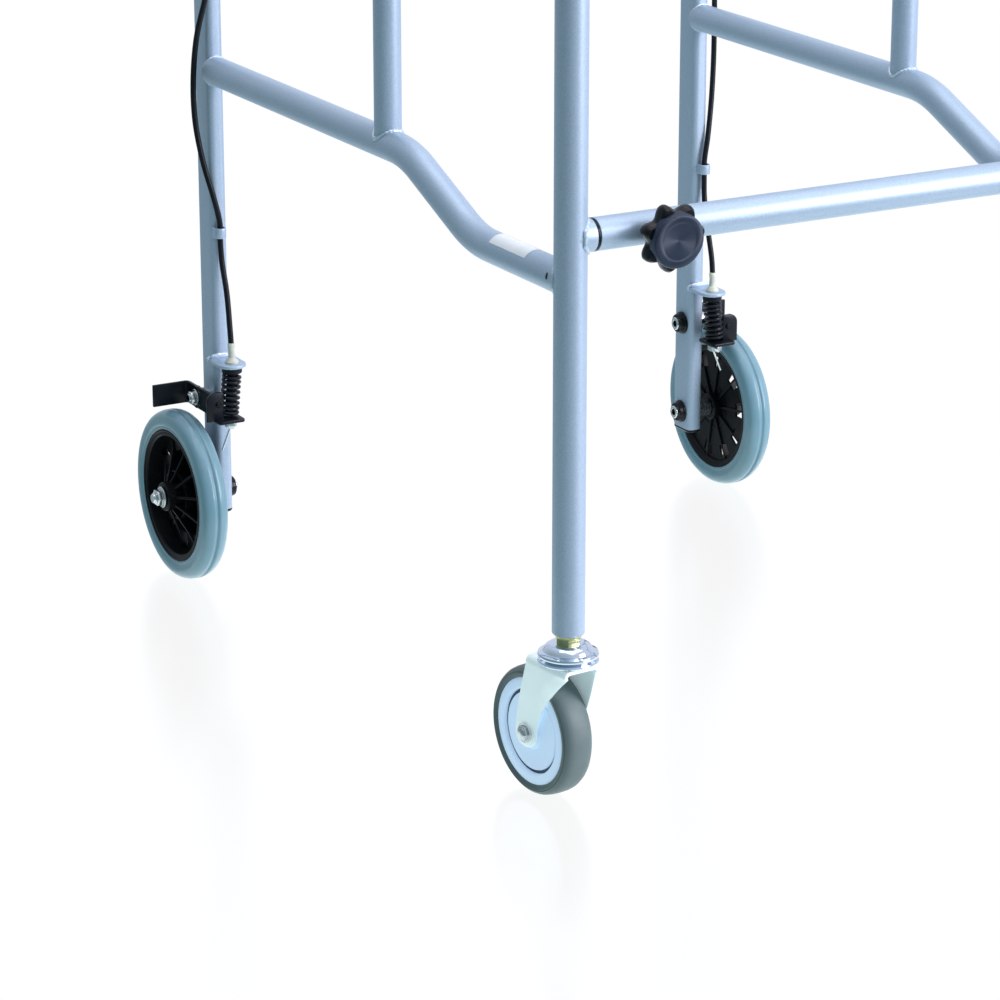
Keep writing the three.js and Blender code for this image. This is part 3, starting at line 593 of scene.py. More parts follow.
def publish(name, bm, material, body, replaces=(), matrix=Matrix.Identity(4), squash=None, extra=(), sharp=32):
    """Turns a mesh in row millimetres into a piece that rides on a body."""
    obj = make_object(name, bm, Matrix.Scale(MM, 4) @ matrix, (material, *extra), sharp)
    bm.free()
    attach(obj, body)
    if replaces:
        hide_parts(*replaces)
    if squash:
        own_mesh(obj)
    return obj


CASTER_FRAME = Matrix.Translation((0, FRONT_Y, 0)) @ Matrix.Rotation(-CASTER_YAW, 4, "Z")


def both_sides(name, bm, material, body, node=None, local=Matrix.Identity(4), squash=None, sharp=32):
    """Publishes a side frame's piece on the right, and its mirror image on the left."""
    pieces = {}
    for side, sign in (("right", 1), ("left", -1)):
        mirror = Matrix.Diagonal((sign, 1, 1, 1)) @ Matrix.Translation((TRACK, 0, 0)) @ local
        options = dict(squash, joint=f"{squash['joint']}_{side}") if squash else None
        nodes = (f"{node}_{side}",) if node else ()
        where = f"{side}_frame" if body == "frame" else f"{body}_{side}"
        pieces[side] = publish(f"{name}_{side}", bm.copy(), material, where, nodes, mirror, options, sharp=sharp)
    bm.free()
    return pieces


# ---------------------------------------------------------------- side frame tubes
def front_leg():
    corners = [Vector((0, y, z)) for y, z in (
        (FRONT_Y, LEG_FOOT_Z), (FRONT_Y, TOP_RAIL_Z), (GUIDE_Y, TOP_RAIL_Z))]
    leg = tube(bent_path(corners, TOP_BEND_R), TUBE_R, 2.6, lip=1.9)
    both_sides("front_leg_tube", leg, "frame_paint", "frame", "front_leg")


def rail_corners():
    front_z = RAIL_Z - RAIL_DROP
    return [Vector((0, y, z)) for y, z in (
        (REAR_Y - LEG_FACE + 3, RAIL_Z), (RAIL_BENDS[0], RAIL_Z), (RAIL_BENDS[1], front_z),
        (FRONT_Y + 2, front_z))]


def lower_rail():
    rail = tube(bent_path(rail_corners(), RAIL_BEND_R), TUBE_R)
    both_sides("lower_rail_tube", rail, "frame_paint", "frame", "lower_rail")


def knob_boss(radius):
    """A threaded boss that faces the front, on a tube whose axis is at y = 0."""
    low, high = -radius - 4.5, -radius + 2
    return revolved("y", [(0, low), (6.8, low), (7.5, low + 0.7), (7.5, high), (0, high)], 32)


def guide_tube():
    path = [Vector((0, GUIDE_Y, z)) for z in (RAIL_Z + 6, 600, 750, GUIDE_TOP)]
    collar = revolved("z", [(10.2, 0), (11.6, 0), (11.9, 0.6), (11.9, 4), (11.4, 4.6), (10.2, 4.6)], 40)
    collar = moved(collar, y=GUIDE_Y, z=GUIDE_TOP - 4.6)
    piece = merged(tube(path, GUIDE_R, 1.0), moved(knob_boss(GUIDE_R), y=GUIDE_Y, z=GUIDE_KNOB_Z), collar)
    both_sides("guide_tube_shell", piece, "frame_paint", "frame", "guide_tube")


def top_rail():
    rear = REAR_Y + 34
    profile = [(0, rear), (5, rear - 0.5), (9.5, rear - 2.2), (12, rear - 5), (TUBE_R, rear - 8),
               (TUBE_R, GUIDE_Y), (0, GUIDE_Y)]
    both_sides("top_rail_tube", moved(revolved("y", profile), z=TOP_RAIL_Z), "frame_paint", "frame", "top_rail")


def leg_section(inset=0.0):
    """The rear leg's flat-oval outline, with narrow corner rounds."""
    return rounded_rectangle(2 * (LEG_SIDE - inset), 2 * (LEG_FACE - inset), 5.5 - inset)


def rear_leg():
    bm = bmesh.new()
    outer, inner = leg_section(), leg_section(TUBE_WALL)
    stations = [(outer, REAR_FOOT_Z), (outer, 300), (outer, 600), (outer, TOP_RAIL_Z), (inner, TOP_RAIL_Z),
                (inner, 600), (inner, 300), (inner, REAR_FOOT_Z)]
    add_rings(bm, [[Vector((a, REAR_Y + b, z)) for a, b in section] for section, z in stations], closed_path=True)
    both_sides("rear_leg_tube", tidy(bm), "frame_paint", "frame", "rear_leg")


def leg_plug():
    bm = bmesh.new()
    rings = [(0.0, REAR_FOOT_Z), (0.0, REAR_FOOT_Z - 1.4), (0.8, REAR_FOOT_Z - 2.6), (2.2, REAR_FOOT_Z - 3)]
    rows = add_rings(bm, [[Vector((a, REAR_Y + b, z)) for a, b in leg_section(inset)] for inset, z in rings])
    bm.faces.new(rows[0])
    bm.faces.new(rows[-1])
    both_sides("leg_plug", tidy(bm), "black_plastic", "frame", "rear_leg_plug")


def cable_clip():
    """A bent band welded on the rear leg, around the brake cable."""
    ends = REAR_Y - LEG_FACE + 0.8
    path = [Vector((SPRING_X + 4.6, ends, CLIP_Z))]
    path += [Vector((a, CLIP_Y + b, CLIP_Z)) for a, b in arc(SPRING_X, 0, 4.6, 15, -195, 24)]
    path += [Vector((SPRING_X - 4.6, ends, CLIP_Z))]
    band = swept(path, rounded_rectangle(1.5, 9.0, 0.7, 4))
    both_sides("cable_clip", band, "frame_paint", "frame")


def side_welds():
    up, aft = Vector((0, 0, 1)), Vector((0, 1, 0))
    front_z = RAIL_Z - RAIL_DROP
    beads = [
        weld_bead(saddle_line(Vector((0, FRONT_Y, front_z)), aft, TUBE_R + 0.2, up, TUBE_R + 0.1)),
        weld_bead(saddle_line(Vector((0, GUIDE_Y, RAIL_Z)), up, GUIDE_R + 0.4, aft, TUBE_R + 0.1), 1.6),
        weld_bead(saddle_line(Vector((0, GUIDE_Y, TOP_RAIL_Z)), up, GUIDE_R + 0.2, aft, TUBE_R + 0.1)),
        weld_bead(saddle_line(Vector((0, GUIDE_Y, TOP_RAIL_Z)), -up, GUIDE_R + 0.2, aft, TUBE_R + 0.1)),
        weld_bead(oval_line(REAR_Y - LEG_FACE, RAIL_Z)),
        weld_bead(leg_top_line()),
        weld_bead([Vector((9 * math.cos(TAU * k / 48), GUIDE_Y - GUIDE_R - 0.2, GUIDE_KNOB_Z
                           + 9 * math.sin(TAU * k / 48))) for k in range(48)], 0.9),
    ]
    both_sides("frame_welds", merged(*beads), "weld_painted_highlight", "frame")


def oval_line(y, z):
    """The bead around the rail's end on the rear leg: wider than the leg, so it wraps over the leg's sides."""
    points = []
    for k in range(96):
        a, b = TUBE_R * math.cos(TAU * k / 96), TUBE_R * math.sin(TAU * k / 96)
        wrap = max(abs(a) - 4.5, 0.0) ** 2 * 0.05
        points.append(Vector((a * 0.93, y + 0.3 + wrap, z + b)))
    return points


def leg_top_line():
    """The bead where the rear leg's top meets the round top rail."""
    outline = leg_section(-0.6)
    points = []
    for i, (a, b) in enumerate(outline):
        after = outline[(i + 1) % len(outline)]
        steps = max(1, round(math.dist((a, b), after) / 1.2))
        for step in range(steps):
            x = a + (after[0] - a) * step / steps
            y = b + (after[1] - b) * step / steps
            points.append(Vector((x, REAR_Y + y, TOP_RAIL_Z - math.sqrt((TUBE_R + 0.4) ** 2 - x * x))))
    return points


def rail_label():
    """A blank white sticker wrapped on the outer side of the rail's front stretch."""
    bm = bmesh.new()
    start, end = FRONT_Y + 104, FRONT_Y + 50
    rows = []
    for step in range(19):
        y = start + (end - start) * step / 18
        center = rail_center(y)
        row = []
        for k in range(11):
            angle = math.radians(102 - 66 * k / 10)
            out = Vector((math.cos(angle), 0, math.sin(angle)))
            row.append(bm.verts.new(center + out * (TUBE_R + 0.25)))
        rows.append(row)
    for low, high in zip(rows, rows[1:]):
        for i in range(10):
            bm.faces.new((low[i], low[i + 1], high[i + 1], high[i]))
    tidy(bm)
    bmesh.ops.solidify(bm, geom=bm.faces, thickness=0.2)
    matrix = Matrix.Diagonal((-1, 1, 1, 1)) @ Matrix.Translation((TRACK, 0, 0))
    publish("rail_label", tidy(bm), "label_film", "left_frame", matrix=matrix)


def rail_vents():
    """The drain hole on each rail's outer side, beside the front leg: a dark oval plug, flush with the tube, that
    is painted shade for the hole.
    """
    y = FRONT_Y + 13.6
    plug = revolved("x", [(0, -0.6), (1, -0.6), (1.15, -0.3), (1.15, 0.12), (0, 0.12)], 20)
    bmesh.ops.scale(plug, vec=(1, 1.2, 2.2), verts=plug.verts)
    lift = math.radians(12)
    center = rail_center(y)
    turned(plug, "Y", -math.degrees(lift))
    moved(plug, TUBE_R * math.cos(lift), y, center.z + TUBE_R * math.sin(lift))
    both_sides("rail_vent", plug, "black_plastic", "frame")


def rail_center(y):
    """The rail's centre line at a given y."""
    path = bent_path(rail_corners(), RAIL_BEND_R, stride=10)
    for rear, front in zip(path, path[1:]):
        if front.y <= y <= rear.y:
            return rear.lerp(front, (rear.y - y) / (rear.y - front.y))
    return path[-1]


# ---------------------------------------------------------------- crossbars
def crossbar(level, z):
    y = FRONT_Y
    mouth, collar = -226, -228.6  # either side of the bushing ring
    sleeve = tube([Vector((x, y, z)) for x in (mouth, 0, TRACK)], TUBE_R)
    outer = merged(sleeve, moved(turned(knob_boss(TUBE_R), "X", KNOB_TILT), KNOB_X, y, z))
    publish(f"crossbar_sleeve_{level}", outer, "frame_paint", "right_frame", (f"crossbar_outer_{level}",))
    rod = merged(
        tube([Vector((x, y, z)) for x in (-TRACK, -236, collar)], TUBE_R, 3.0),
        tube([Vector((x, y, z)) for x in (collar - 1, 0, 150)], POST_R),
    )
    publish(f"crossbar_rod_{level}", rod, "frame_paint", "left_frame", (f"crossbar_inner_{level}",))
    ring = [(9.8, collar + 0.1), (TUBE_R - 0.4, collar + 0.1), (TUBE_R, collar + 0.5), (TUBE_R, mouth - 0.6),
            (TUBE_R - 0.4, mouth - 0.2), (9.8, mouth - 0.2)]
    bush = moved(revolved("x", ring), 0, y, z)
    publish(f"crossbar_bush_{level}", bush, "black_plastic", "right_frame", (f"crossbar_bushing_{level}",))
    for side, sign in (("left", -1), ("right", 1)):
        root = Vector((sign * TRACK, y, z))
        line = saddle_line(root, Vector((-sign, 0, 0)), TUBE_R + 0.2, Vector((0, 0, 1)), TUBE_R + 0.1)
        publish(f"crossbar_weld_{level}_{side}", weld_bead(line, 1.7), "weld_painted_highlight", f"{side}_frame")


# ---------------------------------------------------------------- knobs
def star_knob(tube_radius, clamped_radius):
    """A seven-lobed clamping knob that faces the front, its tube's axis at y = 0: body, disc and stud."""
    reach = tube_radius - 12.5
    back, front, face = -20 - reach, -31 - reach, -37.8 - reach
    lobes, mean, swing, phase = 7, 23.6, 3.0, 0.13

    def outline(shrink):
        points = []
        for k in range(140):
            angle = TAU * k / 140
            radius = mean - shrink + swing * math.cos(lobes * angle)
            points.append((radius * math.cos(angle + phase), radius * math.sin(angle + phase)))
        return points

    rings = [(9, back), (3.2, back), (1.2, back - 0.8), (0.2, back - 2.6), (0, front + 5), (0.6, front + 1.6),
             (2.2, front - 0.6), (4, front - 0.8)]
    bm = bmesh.new()
    rows = add_rings(bm, [[Vector((a, y, b)) for a, b in outline(shrink)] for shrink, y in rings])
    bm.faces.new(rows[0])
    bm.faces.new(rows[-1])
    hub = revolved("y", [(0, back + 0.3), (11, back + 0.3), (12, back - 1.5), (0, back - 1.5)], 40)
    body = merged(tidy(bm), hub)
    disc = [(0, face + 1.6)]
    for k in range(1, 8):
        disc += [(2.0 * k - 0.5, face + 1.6 - 0.15 * k), (2.0 * k, face + 1.55 - 0.15 * k)]
    disc += [(14.8, face + 0.2), (16, face), (19.2, face), (20.2, face + 0.5), (20.8, face + 1.6),
             (21.2, front + 1), (21.2, front + 0.6), (0, front + 0.6)]
    stud_end = -clamped_radius - 0.3
    stud = [(0, back - 2), (4, back - 2)]
    stud += [(4 - 0.35 * (k % 2), back + (stud_end - back) * k / 22) for k in range(1, 22)]
    stud += [(3.4, stud_end), (0, stud_end)]
    return body, revolved("y", disc, 72), revolved("y", stud, 24)


def width_knob(level, z):
    place = Matrix.Translation((KNOB_X, FRONT_Y, z)) @ Matrix.Rotation(math.radians(KNOB_TILT), 4, "X")
    body, disc, stud = star_knob(TUBE_R, POST_R)
    where = f"width_knob_{level}"
    publish(f"knob_star_{level}", body, "black_plastic", where, (f"width_knob_{level}",), place)
    publish(f"knob_disc_{level}", disc, "knob_disc", where, (), place)
    publish(f"knob_stud_{level}", stud, "bright_steel", where, (), place)


def height_knobs():
    place = Matrix.Translation((0, GUIDE_Y, GUIDE_KNOB_Z))
    body, disc, stud = star_knob(GUIDE_R, POST_R)
    both_sides("height_star", body, "black_plastic", "height_knob", "height_knob", place)
    both_sides("height_disc", disc, "knob_disc", "height_knob", None, place)
    both_sides("height_stud", stud, "bright_steel", "height_knob", None, place)


# ---------------------------------------------------------------- bolts
def bolt_head(radius, height):
    """A socket cap head on the -X side of x = 0, with a round recess."""
    rim = radius - 0.7
    profile = [(3.2, -height + 3.2), (3.2, -height + 0.3), (3.6, -height), (rim, -height), (radius, -height + 0.7),
               (radius, 0), (0, 0)]
    return merged(revolved("x", [(0, -height + 3.2)] + profile, 36))


def washer(inner, outer, thickness):
    rim = min(0.4, thickness / 3)
    return revolved("x", [(inner, 0), (outer - rim, 0), (outer, rim), (outer, thickness - rim),
                          (outer - rim, thickness), (inner, thickness)], 44)


def hex_nut(across, height, collar=0.0):
    """A nut on the +X side of x = 0, with a domed locking collar if `collar` is given."""
    nut = slab(hexagon(across), 0, height, "x", 0.6)
    if not collar:
        return nut
    dome = [(0, height - 0.5), (across * 0.42, height - 0.5), (across * 0.42, height + collar * 0.5),
            (across * 0.34, height + collar), (0, height + collar)]
    return merged(nut, revolved("x", dome, 32))


def leg_bolt(name, node, z, spacer_end, outer_face, nut_across, nut_height, end, radius):
    """A bolt through the rear leg: black washer and silver head inboard, spacer, washer and nut outboard."""
    place = Matrix.Translation((0, REAR_Y, z))
    face = LEG_SIDE + 0.1
    cap = moved(bolt_head(6.0, 3.6), -face - 4.6)
    both_sides(f"{name}_head", cap, "bright_steel", "frame", node, place)
    cup = revolved("x", [(0, -face - 5), (5.6, -face - 5), (6.4, -face - 6), (8.2, -face - 6), (8.9, -face - 5.2),
                         (9.2, -face - 2.4), (10.4, -face - 1.6), (10.6, -face), (0, -face)], 44)
    both_sides(f"{name}_washer", cup, "black_plastic", "frame", None, place)
    spacer = [(0, face), (8, face), (8, spacer_end - 0.5), (7.5, spacer_end), (0, spacer_end)]
    thread = [(0, spacer_end - 1), (radius, spacer_end - 1)]
    steps = 12
    thread += [(radius - 0.35 * (k % 2), outer_face + (end - outer_face) * k / steps) for k in range(steps)]
    thread += [(radius - 0.8, end), (0, end)]
    shank = merged(revolved("x", spacer, 36), revolved("x", thread, 28),
                   moved(washer(radius, nut_across * 0.72, 1.2), outer_face),
                   moved(hex_nut(nut_across, nut_height, 1.4), outer_face + 1.2))
    both_sides(f"{name}_shank", shank, "bright_steel", "frame", None, place)


# ---------------------------------------------------------------- brake
CABLE_ROUTE = [
    (2, REAR_Y - 37, 217.3), (2, REAR_Y - 35, 232), (1, REAR_Y - 28, 262), (1.6, REAR_Y - 21, 288),
    (2, CLIP_Y, CLIP_Z - 8), (2, CLIP_Y, CLIP_Z + 8), (6, REAR_Y - 18, 343), (13, REAR_Y - 12, 376),
    (17.5, REAR_Y - 7.5, 412), (18, REAR_Y - 7, 448), (15.5, REAR_Y - 10.5, 485), (11, REAR_Y - 20, 519),
    (9.5, REAR_Y - 36, 556), (8, REAR_Y - 60, 598), (6, REAR_Y - 98, 640), (4, REAR_Y - 150, 678),
    (2, REAR_Y - 205, 710), (1, REAR_Y - 250, 742), (0, REAR_Y - 279, 780), (0, REAR_Y - 290, 815),
    (0, LEVER_Y - 33.3, LEVER_Z), (0, LEVER_Y - 26.3, LEVER_Z + 1),
]


def brake_cable():
    path = curve_points([Vector(point) for point in CABLE_ROUTE], 10)
    both_sides("cable_housing", swept(path, circle(2.5, 20)), "cable_housing", "frame", "brake_cable")


def brake_bracket():
    back = REAR_Y - LEG_FACE - SPRING_Y
    outline = [(12.5, back), (-12.5, back)] + arc(0, 0, 12.5, 180, 360, 24)
    plate = slab(outline, SPRING_HIGH, SPRING_HIGH + 3, "z", 0.9, 3)
    lip = slab(rounded_rectangle(22, 2.4, 1.0, 3), SPRING_HIGH + 2, SPRING_HIGH + 5.6, "z", 0.8, 2)
    bracket = merged(moved(plate, SPRING_X, SPRING_Y), moved(lip, SPRING_X, REAR_Y - LEG_FACE - 1.4))
    both_sides("brake_bracket_plate", bracket, "frame_paint", "frame", "brake_bracket")
    width = 13
    points = [Vector((SPRING_X + width * math.cos(TAU * k / 60), REAR_Y - LEG_FACE - 0.4,
                      SPRING_HIGH + 2.4 + 3.4 * math.sin(TAU * k / 60))) for k in range(60)]
    both_sides("bracket_weld", weld_bead(points, 1.2), "weld_painted_highlight", "frame")


def cable_adjuster():
    seat = SPRING_HIGH + 3.1
    top = 217
    nut = [(0, seat), (6, seat), (6, seat + 1.6), (4.6, seat + 3.6), (3.1, seat + 5.4), (2.9, seat + 7)]
    nut += [(2.9 - 0.2 * (k % 2), seat + 7 + k * 0.8) for k in range(8)]
    nut += [(3.2, top - 1.2), (3.2, top + 1.5), (2.8, top + 2.2), (0, top + 2.2)]
    both_sides("adjuster_ferrule", moved(revolved("z", nut, 28), SPRING_X, SPRING_Y), "ivory_plastic", "frame",
               "cable_adjuster")
    cup = [(0, SPRING_HIGH - 5.5), (8.4, SPRING_HIGH - 5.5), (9, SPRING_HIGH - 4.8), (9, SPRING_HIGH - 0.2),
           (0, SPRING_HIGH - 0.2)]
    both_sides("spring_cup", moved(revolved("z", cup, 32), SPRING_X, SPRING_Y), "black_coat", "frame")


# Squeeze settings for the spring and the black core inside it, which is painted shade between the coils: the arm's
# joint, its axis, the anchor at the bracket and the share kept.
SQUEEZE = {
    "joint": "brake_arm_turn", "axis": (0, 0, 1), "anchor": (0, SPRING_Y * MM, SPRING_HIGH * MM), "keep": 0.87,
}


def brake_spring():
    radius, wire, turns, lean = 7.2, 1.55, 8.4, 3.6
    low, high = SPRING_LOW + wire + 0.1, SPRING_HIGH - 5.5 - wire
    steps = 240
    path = []
    for k in range(steps + 1):
        share = k / steps
        ends = 0.5 - 0.5 * math.cos(math.pi * share)
        rise = 0.75 * share + 0.25 * ends
        angle = TAU * turns * share
        path.append(Vector((SPRING_X + lean * (1 - share) + radius * math.cos(angle),
                            SPRING_Y + radius * math.sin(angle), low + (high - low) * rise)))
    coil = swept(path, circle(wire, 10))
    both_sides("return_spring", coil, "black_coat", "frame", "brake_spring", squash=SQUEEZE)
    # A black core inside the spring: painted shade seen between the coils.
    shade_core = [Vector((SPRING_X + 3.2 - 3.2 * k / 6, SPRING_Y, SPRING_LOW + 2 + 38 * k / 6)) for k in range(7)]
    both_sides("spring_painted_shade_core", swept(shade_core, circle(4.2, 20)), "black_coat", "frame", squash=SQUEEZE)


def brake_arm():
    inner, outer, bottom, top = 17, 20, 153, 173
    rear, shoe_end, front = 22, 52.5, -38
    thick = outer - inner
    bend = 5
    plan = ([(inner, front), (outer, front)] + arc(outer + 2, rear - thick - 2, 2, 180, 90, 5)
            + [(shoe_end, rear - thick), (shoe_end, rear)] + arc(inner + bend, rear - bend, bend, 90, 180, 6))
    strap = slab(plan, bottom, top, "z", 0.8, 2)
    face = [(12, bottom - 2), (28, bottom - 2)] + arc(20, 169, 8, 0, 90, 10)
    face += [(15, 177)] + arc(14.5, 174.5, 2.5, 90, 180, 4)
    flange = slab(face, front - thick, front + 0.5, "y", 0.7, 2)
    tab = slab(rounded_rectangle(25, 27, 3, 5), bottom - thick, bottom, "z", 0.7, 2)
    boss = revolved("x", [(8.5, inner - 0.2), (10, inner - 0.2), (10, outer + 0.4), (8.5, outer + 0.4)], 36)
    place = Matrix.Translation((0, REAR_Y, 0))
    arm = merged(strap, flange, moved(tab, 8.3, front + 1), moved(boss, z=PIVOT_Z))
    both_sides("brake_strap", arm, "black_coat", "brake_arm", "brake_arm", place)
    screw = revolved("y", [(0, -2.2), (1.6, -2.0), (2.4, -1.2), (2.6, 0), (0, 0)], 24)
    both_sides("flange_screw", moved(screw, 17.5, front - thick, 166), "black_plastic", "brake_arm", None, place)
    low = bottom - thick - 6.5
    clamp = merged(
        revolved("z", [(0, low), (4.4, low), (5.2, low + 0.8), (5.2, low + 6.3), (0, low + 6.3)], 32),
        moved(turned(slab(hexagon(7), 3, 8, "x", 0.4), "Z", -70), z=low + 3.1),
    )
    both_sides("cable_clamp", moved(clamp, SPRING_X + 2.2, SPRING_Y), "bright_steel", "brake_arm")
    tail = [Vector((SPRING_X + 2.2 + 1.25 * k, SPRING_Y, bottom - thick - 6 - 3 * k)) for k in range(8)]
    both_sides("cable_tail", swept(tail, circle(0.9, 8)), "bright_steel", "brake_arm")


def lever_bracket():
    y, z = LEVER_Y, LEVER_Z
    clamp = revolved("y", [(TUBE_R, -9), (16.4, -9), (17, -8.2), (17, 8.2), (16.4, 9), (TUBE_R, 9)], 48)
    cheek = [(-14, -7), (-14, TOP_RAIL_Z - 14 - z), (8, TOP_RAIL_Z - 14 - z)] + arc(2, -1, 6, 0, -90, 6)
    cheeks = [slab(cheek, low, low + 3, "x", 0.8, 2) for low in (6, -9)]
    block = moved(slab(rounded_rectangle(12, 5, 1.2, 3), -7, TOP_RAIL_Z - 14.5 - z, "z", 0.5, 1), y=-11.5)
    barrel = [(0, -26.2), (3.4, -26.2), (4.5, -25.2)]
    barrel += [(4.5 - 0.4 * (k % 2), -24.6 + k * 0.9) for k in range(9)]
    barrel += [(4.5, -16), (4.5, -12), (0, -12)]
    place = Matrix.Translation((0, y, 0))
    piece = merged(moved(clamp, z=TOP_RAIL_Z), *(moved(part, z=z) for part in (*cheeks, block)),
                   moved(revolved("y", barrel, 28), z=z + 1))
    both_sides("lever_mount", piece, "black_coat", "frame", "lever_bracket", place)
    pin = merged(moved(bolt_head(4, 2.2), -9), revolved("x", [(0, -9), (2.5, -9), (2.5, 9.4), (0, 9.4)], 20),
                 moved(hex_nut(8, 3), 9.2))
    screw = moved(bolt_head(3, 2.4), -16.6, 0, TOP_RAIL_Z - z)
    both_sides("lever_pin", moved(merged(pin, screw), z=z), "bright_steel", "frame", None, place)


def brake_lever():
    """A bent blade of solid, rounded section along a centre line in (y, z), with a ball at its tip."""
    center = [(0, 0), (6, -3), (14, -9), (26, -14.5), (40, -17.5), (58, -22), (78, -25.2), (98, -24.2),
              (112, -21.5)]
    path = curve_points([Vector((0, y, z)) for y, z in center], 6)
    last = len(path) - 1

    def section(i):
        share = i / last
        depth = 5.6 - 2.2 * share
        width = 5.5
        return [(width * math.copysign(abs(math.cos(t)) ** 0.55, math.cos(t)),
                 depth * math.copysign(abs(math.sin(t)) ** 0.7, math.sin(t)))
                for t in (TAU * k / 28 for k in range(28))]

    blade = swept(path, section)
    tip = revolved("x", [(0, -5.5), (3.4, -4.9), (4.7, -3), (5, 0), (4.7, 3), (3.4, 4.9), (0, 5.5)], 28)
    hub = revolved("x", [(2.6, -5.5), (5.4, -5.5), (6, -4.9), (6, 4.9), (5.4, 5.5), (2.6, 5.5)], 32)
    place = Matrix.Translation((0, LEVER_Y, LEVER_Z))
    piece = merged(blade, moved(tip, y=114, z=-20.6), hub)
    both_sides("lever_blade", piece, "black_coat", "brake_lever", "brake_lever", place)


def hand_grip():
    start, end = box_mm("hand_grip_right")[0].y, box_mm("hand_grip_right")[1].y
    profile = [(TUBE_R, start), (18.2, start), (19, start + 0.8), (19, start + 3.4), (17.6, start + 5),
               (17, start + 8)]
    ribs = 17
    for k in range(ribs):
        y = start + 12 + (end - start - 24) * k / (ribs - 1)
        profile += [(17, y - 2.1), (16.2, y - 1.5), (16.2, y - 0.7), (17, y)]
    profile += [(17, end - 5), (16.2, end - 1.6), (14.5, end), (TUBE_R, end)]
    grip = moved(revolved("y", profile, 64), z=TOP_RAIL_Z)
    both_sides("grip_sleeve", grip, "grip_rubber", "frame", "hand_grip")


# ---------------------------------------------------------------- rear wheels
def wheel_place(x=0.0):
    return Matrix.Translation((WHEEL_X + x, REAR_Y, AXLE_Z))


WEB_X, WEB_TURN = -5.4, 10  # the web's place along the axle, and the first rib's angle


def rear_hub():
    """A moulded hub: a deep rim, a boss, and a ribbed web with windows near the rim."""
    rim = [(59, -10), (59, 11), (57.6, 11), (56.8, 10.2), (54.6, 10.2), (53.4, 9), (52.8, 4), (52, -2), (52, -6),
           (53, -8.4), (54, -9.4), (57, -10)]
    boss = [(5.6, -13.4), (11.6, -13.4), (12.6, -12.4), (13.4, 0), (13, 17.4), (12.2, 18.6), (5.6, 18.6)]
    ring = [(20.5, -7), (22, -7), (22, 6.5), (20.5, 6.5)]
    pieces = [revolved("x", rim, 96), revolved("x", boss, 48), revolved("x", ring, 64)]
    rib_outline = [(12, -8.6), (12, 13), (20, 9), (36, 2), (44, -0.5), (53.6, -1), (53.6, -7.6)]
    count = 10
    web = []
    for k in range(count):
        angle = WEB_TURN + 360 * k / count
        rib = slab(rib_outline, -1.1, 1.1, "x", 0.5, 1)
        web.append(turned(turned(turned(rib, "Z", 90), "Y", 90), "X", angle))
    windowed = turned(moved(window_web(count), WEB_X), "X", WEB_TURN)
    return merged(*pieces, windowed, *web)


def window_web(count):
    """The hub's web: a thin disc, with a rounded window beside every rib near the rim."""
    bm = bmesh.new()
    steps = 16
    radii = [12.5, 22, 31, 38.5, 41, 46.5, 49.5, 51, 53.5]
    thickness = 1.1
    hole_rows = range(3, 6)
    grid = {}
    for side in (-thickness, thickness):
        for i, radius in enumerate(radii):
            for k in range(count * steps):
                angle = TAU * k / (count * steps)
                grid[side, i, k] = bm.verts.new((side, radius * math.cos(angle), radius * math.sin(angle)))
    total = count * steps

    def solid(i, k):
        middle = 4 <= k % steps < 12
        return 0 <= i < len(radii) - 1 and not (i in hole_rows and middle)

    for i in range(len(radii) - 1):
        for k in range(total):
            if not solid(i, k):
                continue
            n = (k + 1) % total
            for side in (-thickness, thickness):
                bm.faces.new([grid[side, i, k], grid[side, i, n], grid[side, i + 1, n], grid[side, i + 1, k]])
            walls = ((solid(i - 1, k), (i, k), (i, n)), (solid(i + 1, k), (i + 1, k), (i + 1, n)),
                     (solid(i, (k - 1) % total), (i, k), (i + 1, k)), (solid(i, n), (i, n), (i + 1, n)))
            for neighbour, a, b in walls:
                if not neighbour:
                    bm.faces.new([grid[-thickness, a[0], a[1]], grid[-thickness, b[0], b[1]],
                                  grid[thickness, b[0], b[1]], grid[thickness, a[0], a[1]]])
    bmesh.ops.delete(bm, geom=[v for v in bm.verts if not v.link_faces], context="VERTS")
    return tidy(bm)


def rear_tyre():
    """A smooth tyre with a narrow parting groove round its tread and a bead line on each side."""
    half = 12.0

    def side(sign):
        return [(59.2, sign * (half - 1.4)), (61.2, sign * (half - 0.5)), (61.9, sign * (half - 0.9)),
                (62.6, sign * (half - 0.3)), (66, sign * half), (69.6, sign * (half - 0.1)),
                (72, sign * (half - 1.1)), (73.8, sign * (half - 2.9)), (75.1, sign * (half - 5.4)),
                (75.7, sign * (half - 7.6))]

    groove = [(75.9, -3.4), (76.0, -1.5), (75.1, -0.9), (74.8, 0.0), (75.1, 0.9), (76.0, 1.5), (75.9, 3.4)]
    profile = side(-1) + groove + side(1)[::-1]
    return revolved("x", profile, 128)


def rear_wheel():
    both_sides("wheel_hub", rear_hub(), "hub_black", "rear_wheel", "rear_hub", wheel_place())
    both_sides("wheel_tyre", rear_tyre(), "tyre_blue", "rear_wheel", "rear_tyre", wheel_place(), sharp=60)


# ---------------------------------------------------------------- casters
CASTER_WHEEL = CASTER_FRAME @ Matrix.Translation((0, CASTER_TRAIL, CASTER_Z))


def caster_tyre():
    half = 14.0

    def side(sign):
        return [(42.2, sign * (half - 2.2)), (43.4, sign * (half - 1.0)), (45.6, sign * (half - 0.7)),
                (46.2, sign * (half - 1.6)), (46.9, sign * (half - 1.4)), (48.8, sign * (half - 3.0)),
                (50.2, sign * (half - 5.6)), (50.8, sign * (half - 9.0))]

    profile = side(-1) + [(51, 0)] + side(1)[::-1]
    tread = revolved("x", profile, 96)
    both_sides("caster_tread", tread, "tyre_grey", "caster_wheel", "caster_tyre", CASTER_WHEEL, sharp=40)


